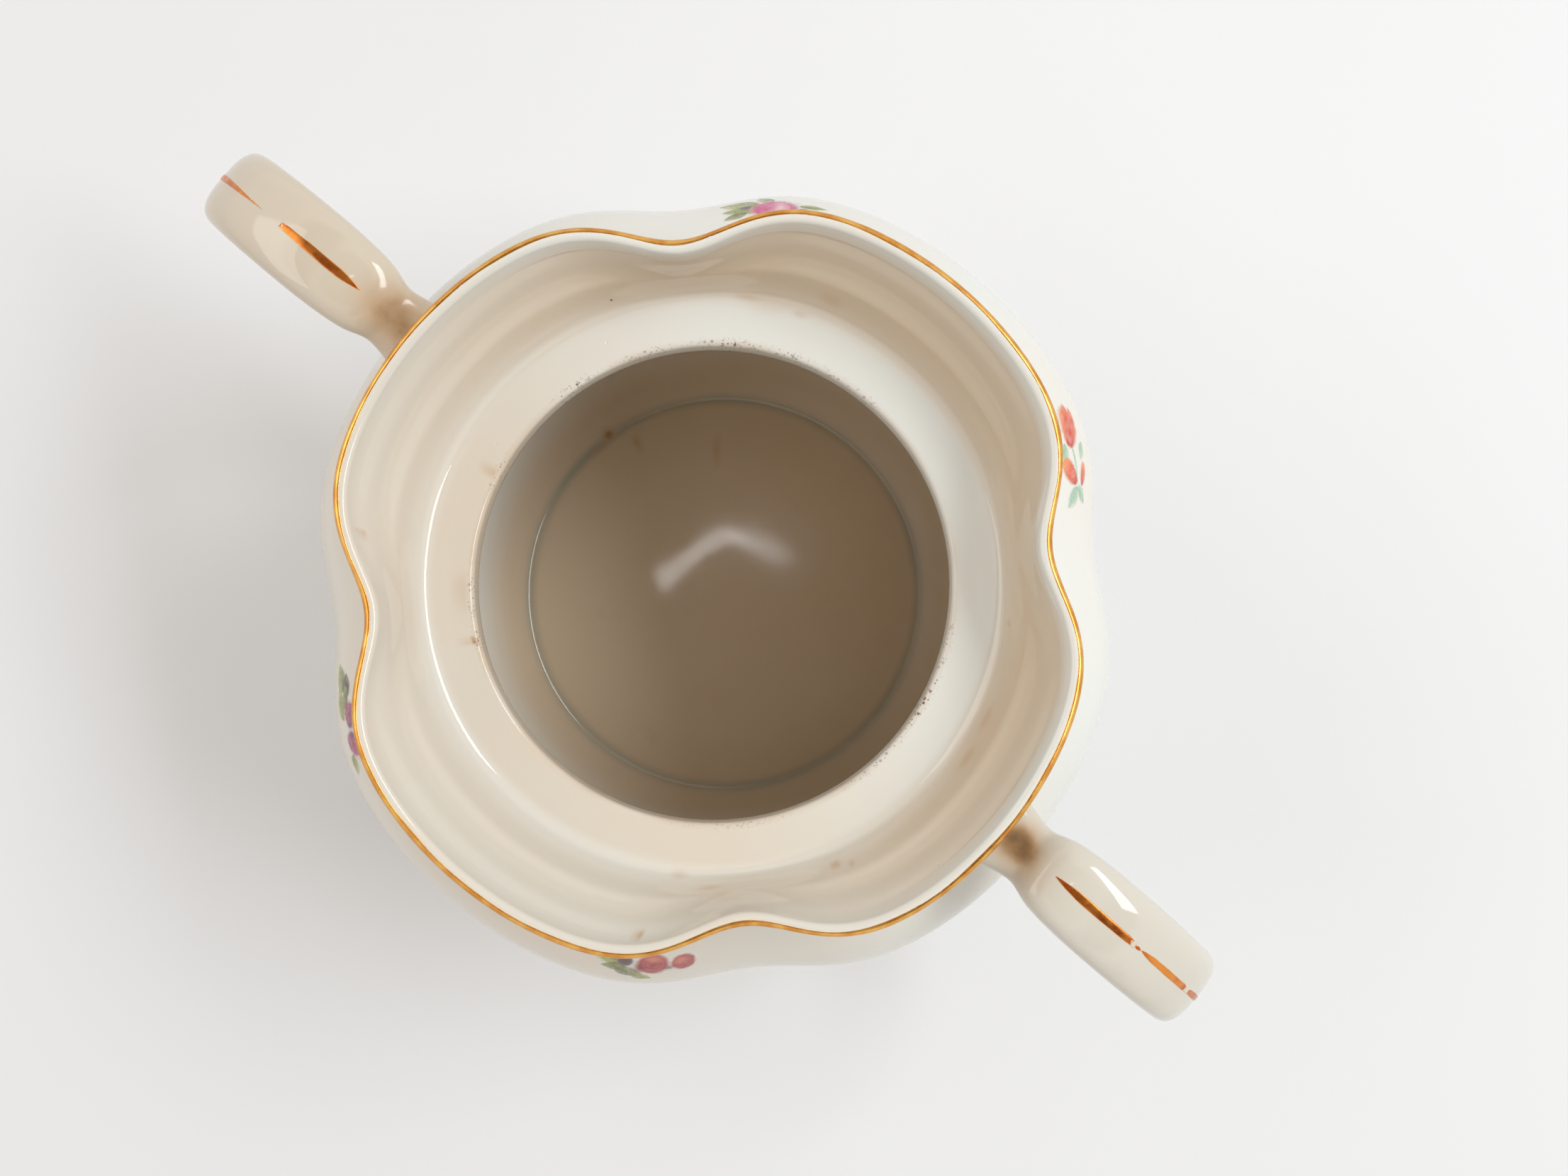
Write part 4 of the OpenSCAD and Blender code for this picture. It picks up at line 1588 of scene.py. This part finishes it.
def shoulder_transfers(wall: Wall) -> dict[str, Transfer]:
    """Draws the four small sprays on the shoulder.

    Args:
        wall: What they lie on.

    Returns:
        Each spray, by the CAD node that it stands for.
    """
    k, i = Kind, Inks
    tulip = spray(
        (k.STEM, i.PALE_GREEN, -1.2, 0.3, 5.2, 0.4, 183), (k.STEM, i.PALE_GREEN, -3.2, 0.4, 2.4, 0.35, 200),
        (k.LEAF, i.PALE_GREEN, 0, -2.4, 2.8, 1.7, 143), (k.LEAF, i.PALE_GREEN, 0.2, 2.8, 3.0, 1.8, 165),
        (k.LEAF, i.PALE_GREEN, -6.2, 1.6, 4.2, 2.2, 131), (k.LEAF, i.PALE_GREEN, -6, -1, 3.2, 1.6, 214),
        (k.PETAL, i.ORANGE, -2.5, 2.1, 5.0, 3.2, 41), (k.PETAL, i.ORANGE, -3.2, -1.9, 3.6, 1.9, -26),
        (k.TULIP, i.ORANGE, 3.8, -0.2, 6.6, 5.0, -25),
    )
    pink = spray(
        (k.LEAF, i.LEAF_GREEN, -5.4, -0.6, 4.0, 1.5, 187), (k.LEAF, i.DULL_GREEN, -4.2, 1.5, 3.0, 1.5, 150),
        (k.LEAF, i.OLIVE, 5.0, -2.4, 6.4, 3.6, -24), (k.LEAF, i.LEAF_GREEN, 4.4, 0.2, 6.0, 3.2, -6),
        (k.LEAF, i.DULL_GREEN, 5.4, 1.9, 3.6, 2.0, 22), (k.LEAF, i.LEAF_GREEN, 1.4, -3.4, 4.2, 2.2, -60),
        (k.ROSE, i.PINK, 0, 0.4, 7.0, 6.4), (k.BLUSH, i.PINK, 2.0, 0.4, 3.0, 5.0),
        (k.BLUSH, i.BLOOM, -0.9, 0.6, 2.6, 5.0), (k.BLUSH, i.MAGENTA, -2.9, 0.6, 1.5, 3.6),
        (k.ROSE, i.VIOLET, 4.0, -0.7, 1.8, 1.6),
        (k.PETAL, i.MAGENTA, -4.4, 0.7, 1.7, 1.0, 170),
    )
    violet = spray(
        (k.LEAF, i.LEAF_GREEN, -5.2, -1.0, 4.4, 3.4, 205), (k.LEAF, i.SEPIA, -4.0, 1.0, 3.6, 2.6, 178),
        (k.LEAF, i.OLIVE, -1.7, -1.3, 4.8, 3.0, 190), (k.LEAF, i.DULL_GREEN, -2.4, 0.6, 3.4, 2.0, 165),
        (k.LEAF, i.OLIVE, 6.7, -1.2, 3.2, 2.2, -30), (k.LEAF, i.PALE_GREEN, 5.6, 2.6, 3.0, 1.6, 30),
        (k.ROSE, i.MAGENTA, 0.1, 1.6, 4.3, 3.8), (k.BLUSH, i.BLUE, 1.5, 0.9, 1.2, 1.4),
        (k.ROSE, i.MAGENTA, 4.1, 0.7, 4.4, 3.8, 50), (k.BLUSH, i.BLUE, 2.9, 1.0, 1.1, 1.4),
    )
    red = spray(
        (k.LEAF, i.OLIVE, -6.0, 1.4, 4.4, 3.2, 155), (k.LEAF, i.DULL_GREEN, -5.1, -0.9, 3.6, 2.4, 186),
        (k.LEAF, i.DULL_GREEN, -3.0, -2.2, 4.6, 3.0, -30), (k.LEAF, i.OLIVE, -1.2, -3.8, 3.0, 2.2, -28),
        (k.ROSE, i.VIOLET, -3.7, 1.1, 2.4, 3.2), (k.BLUSH, i.SEPIA, -3.6, 1.0, 2.2, 2.8),
        (k.BLUSH, i.SEPIA, 2.4, -0.7, 1.8, 1.7), (k.ROSE, i.CRIMSON, 4.4, 0.5, 3.8, 5.2),
        (k.BLUSH, i.PEACH, 4.1, 1.0, 2.6, 2.6), (k.ROSE, i.CRIMSON, 0.2, 0.4, 4.9, 6.6),
        (k.BLUSH, i.PEACH, 0.2, 1.9, 3.0, 2.6), (k.BLUSH, i.DEEP_RED, -1.7, -0.6, 1.7, 4.0),
    )
    size = (18.0, 10.4)
    return {
        "tulip_transfer": Transfer("tulip_spray", wall, 60, 7.4, size, tulip),
        "pink_rose_transfer": Transfer("pink_rose_spray", wall, 121, 7.3, size, pink),
        "violet_transfer": Transfer("violet_spray", wall, 239, 7.2, size, violet),
        "red_rose_transfer": Transfer("red_rose_spray", wall, 300, 7.5, size, red),
    }


def belly_transfers(wall: Wall) -> dict[str, Transfer]:
    """Draws the bouquet on both broad sides.

    Args:
        wall: What they lie on.

    Returns:
        Each bouquet, by the CAD node that it stands for.
    """
    k, i = Kind, Inks
    bouquet = spray(
        (k.STEM, i.DULL_GREEN, -3, -7, 9, 0.6, 60), (k.STEM, i.PALE_GREEN, 4, -6, 8, 0.5, 118),
        (k.STEM, i.DULL_GREEN, 1, -8, 8, 0.55, 84), (k.STEM, i.PALE_GREEN, -10.6, -3.6, 6, 0.45, 20),
        (k.STEM, i.PALE_GREEN, 10.8, 4, 6, 0.45, 20), (k.LEAF, i.LEAF_GREEN, -8, 4.4, 7.4, 4.0, 150),
        (k.LEAF, i.OLIVE, 1, 8, 6.8, 3.8, 80), (k.LEAF, i.DULL_GREEN, 7.6, -3.4, 7, 3.8, -30),
        (k.LEAF, i.OLIVE, -1.6, -7.2, 7, 3.6, 255), (k.LEAF, i.LEAF_GREEN, -5.4, -6.0, 5.6, 2.8, 215),
        (k.LEAF, i.PALE_GREEN, -12.8, -4.9, 4.6, 2.4, 205), (k.LEAF, i.PALE_GREEN, -11.6, -2, 3.6, 1.8, 160),
        (k.LEAF, i.PALE_GREEN, 13, 5.2, 4.6, 2.4, 30), (k.LEAF, i.PALE_GREEN, 11.8, 2.0, 3.4, 1.7, -20),
        (k.LEAF, i.DULL_GREEN, 4.6, 7.2, 4.6, 2.4, 130), (k.TULIP, i.ORANGE, 8, 8.8, 5.8, 4.2, 50),
        (k.PETAL, i.ORANGE, -10.6, 1.4, 4.2, 2.4, 165), (k.ROSE, i.VIOLET, -4.2, 6.4, 3.4, 3.2, 15),
        (k.ROSE, i.MAGENTA, -7.4, -1.8, 5.8, 5.4, 20), (k.BLUSH, i.BLUE, -7.4, -1.8, 1.5, 1.4),
        (k.ROSE, i.CRIMSON, 7.8, 2.4, 6.4, 6.0, 70), (k.BLUSH, i.PEACH, 7.6, 4.0, 2.2, 1.5),
        (k.ROSE, i.PINK, 0, 0.6, 10.2, 9.6, 12), (k.BLUSH, i.CRIMSON, -2.6, -0.8, 2.0, 3.4, 20),
    )
    size, step = (34.0, 26.0), 0.17
    return {
        "front_bouquet_transfer": Transfer("front_bouquet", wall, 270, 4.3, size, bouquet, step),
        "back_bouquet_transfer": Transfer("back_bouquet", wall, 90, 4.3, size, bouquet, step),
    }


# ---- studio -------------------------------------------------------------------------------------------


class Lamp(NamedTuple):
    """A soft lamp that faces the lip: degrees round and above it, and its distance and size in metres."""

    angle: float
    rise: float
    far: float
    size: tuple[float, float]
    watts: float
    tint: Rgb


class Strip(NamedTuple):
    """A thin level lamp overhead: its middle, length and width in millimetres, and degrees from +X."""

    middle: tuple[float, float, float]
    size: tuple[float, float]
    turn: float
    watts: float


@dataclass(frozen=True)
class Studio:
    """Pale floor, soft lamps, a pale room and the camera over the mouth.

    The lip's middle lies distance in front of the camera, offset_right and offset_up off its line of sight.
    The floor lies floor_drop under the foot. All are millimetres.
    """

    wall: Wall
    lens_mm: float = 27.03
    sensor_mm: float = 36.0
    distance: float = 139.7
    offset_right: float = -8.66
    offset_up: float = 0.88
    handle_turn: float = -39.6
    lean_right: float = 1.65
    lean_up: float = 1.24
    floor_reach: float = 9000.0
    floor_drop: float = 0.02
    window: Lamp = Lamp(51, 48, 1.0, (0.8, 0.26), 5.8, (0.94, 0.98, 1.0))
    fill: Lamp = Lamp(205, 34, 1.2, (1.0, 0.6), 3.4, (1.0, 0.98, 0.95))
    right_strip: Strip = Strip((-32, 39, 1000), (46, 7), 19, 0.014)
    left_strip: Strip = Strip((-61, 4, 1000), (58, 14), 75, 0.014)
    horizon: Rgb = (0.46, 0.43, 0.39)
    ceiling: Rgb = (0.70, 0.675, 0.645)
    overhead: Rgb = (0.62, 0.53, 0.44)
    patch: Rgb = (0.10, 0.07, 0.05)
    dim: Rgb = (0.30, 0.24, 0.18)

    def camera(self) -> None:
        """Hangs the camera over the mouth, turned and tilted as the bowl is seen.

        The bowl's axis, seen from the camera, leans by two small angles, and the right handle points
        handle_turn degrees above level.
        """
        leans = (math.tan(math.radians(lean)) for lean in (self.lean_right, self.lean_up))
        up = Vector((*leans, 1)).normalized()
        turn = math.radians(self.handle_turn)
        right = Vector((math.cos(turn), math.sin(turn), 0))
        right = (right - up * right.dot(up)).normalized()
        bowl_axes = Matrix((right, up.cross(right), up)).transposed()
        lip_middle = Vector((self.offset_right, self.offset_up, -self.distance))
        origin = lip_middle - bowl_axes @ Vector((0, 0, self.wall.height))
        pose = bowl_axes.transposed().to_4x4()
        pose.translation = bowl_axes.transposed() @ (-origin) * MM
        data = bpy.data.cameras.new("camera")
        data.lens = self.lens_mm
        data.sensor_width = self.sensor_mm
        data.clip_start = 0.01
        camera = bpy.data.objects.new("camera", data)
        camera.matrix_world = pose
        bpy.context.scene.collection.objects.link(camera)
        bpy.context.scene.camera = camera

    def floor(self) -> None:
        """Lays the pale floor under the foot."""
        mesh, count = Mesh(), 9
        line = np.linspace(-self.floor_reach, self.floor_reach, count)
        x, y = np.meshgrid(line, line)
        points = np.stack([x, y, np.full_like(x, -self.floor_drop)], -1)
        mesh.add(points, grid_quads(count, count, wrap_cols=False))
        mesh.piece("floor", StudioFloor("pale_paper").material())

    @staticmethod
    def light(name: str, size: tuple[float, float], watts: float) -> bpy.types.Object:
        """Makes a rectangular lamp at the origin that shines straight down.

        Args:
            name: The lamp's name.
            size: Its two sides, in metres.
            watts: Its power.

        Returns:
            The lamp.
        """
        data = bpy.data.lights.new(name, "AREA")
        data.shape = "RECTANGLE"
        data.size, data.size_y = size
        data.energy = watts
        item = bpy.data.objects.new(name, data)
        bpy.context.scene.collection.objects.link(item)
        return item

    def hang_lamp(self, name: str, lamp: Lamp) -> None:
        """Hangs a soft lamp that faces the lip.

        Args:
            name: The lamp's name.
            lamp: Where it hangs and how it shines.
        """
        item = self.light(name, lamp.size, lamp.watts)
        item.data.color = lamp.tint
        a, e = math.radians(lamp.angle), math.radians(lamp.rise)
        aim = Vector((math.cos(e) * math.cos(a), math.cos(e) * math.sin(a), math.sin(e)))
        item.location = aim * lamp.far + Vector((0, 0, self.wall.height * MM))
        item.rotation_euler = aim.to_track_quat("Z", "Y").to_euler()

    def hang_strip(self, name: str, strip: Strip) -> None:
        """Hangs a thin strip lamp overhead, to glint on the floor inside the bowl.

        Args:
            name: The lamp's name.
            strip: Where it hangs and how it shines.
        """
        item = self.light(name, (strip.size[0] * MM, strip.size[1] * MM), strip.watts)
        item.location = Vector(strip.middle) * MM
        item.rotation_euler = (0, 0, math.radians(strip.turn))

    def world(self) -> None:
        """Surrounds the bowl with a pale room, which different rays see differently.

        Diffuse rays meet a horizon, a ceiling and a dimmer middle overhead, camera rays meet plain white,
        and glossy and transmission rays meet white with a dim middle overhead. High up beyond each handle
        lies a dark patch that all but camera rays meet.
        """
        world = bpy.data.worlds.new("room")
        world.use_nodes = True
        bpy.context.scene.world = world
        n = Nodes(world.node_tree)
        toward = n.add("SeparateXYZ", in_0=n.add("TexCoord").outputs["Generated"]).outputs
        colour = n.mix(n.ramp(toward["Z"], 0.3, 0.5), self.horizon, self.ceiling)
        colour = n.mix(n.ramp(toward["Z"], 0.86, 0.97), colour, self.overhead)
        beyond = n.ramp(n.maths("ABSOLUTE", toward["X"]), 0.36, 0.5)
        patch = n.times(beyond, n.ramp(toward["Z"], 0.6, 0.72))
        shown = n.mix(n.ramp(toward["Z"], 0.86, 0.95), (1.0, 1.0, 1.0), self.dim)
        rays = n.add("LightPath").outputs
        direct = n.plus(rays["Is Glossy Ray"], rays["Is Transmission Ray"])
        colour = n.mix(n.maths("MINIMUM", direct, 1.0), colour, shown)
        colour = n.mix(patch, colour, self.patch)
        colour = n.mix(rays["Is Camera Ray"], colour, (1.0, 1.0, 1.0))
        n.add("OutputWorld", Surface=n.add("Background", Color=colour, Strength=1.0).outputs[0])

    def set_up(self) -> None:
        """Builds the whole studio."""
        self.floor()
        self.world()
        self.hang_lamp("window", self.window)
        self.hang_lamp("fill", self.fill)
        self.hang_strip("right_strip", self.right_strip)
        self.hang_strip("left_strip", self.left_strip)
        self.camera()
        bpy.context.scene.view_settings.view_transform = "Standard"


# ---- putting it together ------------------------------------------------------------------------------


def fit(piece: bpy.types.Object, slot: str, *nodes: str) -> None:
    """Lets a piece stand for CAD nodes and ride with the bowl, and reports it.

    Args:
        piece: The new piece.
        slot: Not used.
        nodes: The CAD nodes that it stands for.
    """
    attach(piece, "root")
    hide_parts(*nodes)
    LOG.info("%s: %d faces, stands for %s", piece.name, len(piece.data.polygons), ", ".join(nodes))


def main() -> None:
    """Builds the bowl piece by piece, then the studio round it."""
    logging.basicConfig(level=logging.INFO, format="%(name)s: %(message)s")
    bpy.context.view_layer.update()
    wall = Wall(belly_r=float(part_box("bowl_body")[1][1]) / MM)
    glaze = Glaze("aged_glaze").material()
    gold = Gold("worn_gold").material()
    handle_gold = Gold("handle_gold", bright=linear(228, 146, 68), deep=linear(200, 104, 44)).material()
    fit(wall.build(glaze), "glazed_body", "bowl_body")
    fit(wall.lip_gold(gold), "gold", "lip_gilding")
    for side in Side:
        handle = Handle(side, wall)
        fit(handle.build(glaze), "glazed_handle", f"{side.label}_handle")
        for root in (handle.upper, handle.lower):
            fit(handle.slip(root, glaze), "joint_slip", f"{side.label}_handle_{root.label}_slip")
        fit(handle.gilding(handle_gold), "gold", f"{side.label}_handle_gilding")
    slots = {
        "tulip_transfer": "enamel_orange", "violet_transfer": "enamel_violet",
        "red_rose_transfer": "enamel_red",
    }
    for node, transfer in {**shoulder_transfers(wall), **belly_transfers(wall)}.items():
        enamel = Enamel(f"{transfer.name}_enamel").material()
        fit(transfer.build(enamel), slots.get(node, "enamel_pink"), node)
    Studio(wall).set_up()


if __name__ == "__main__":
    main()
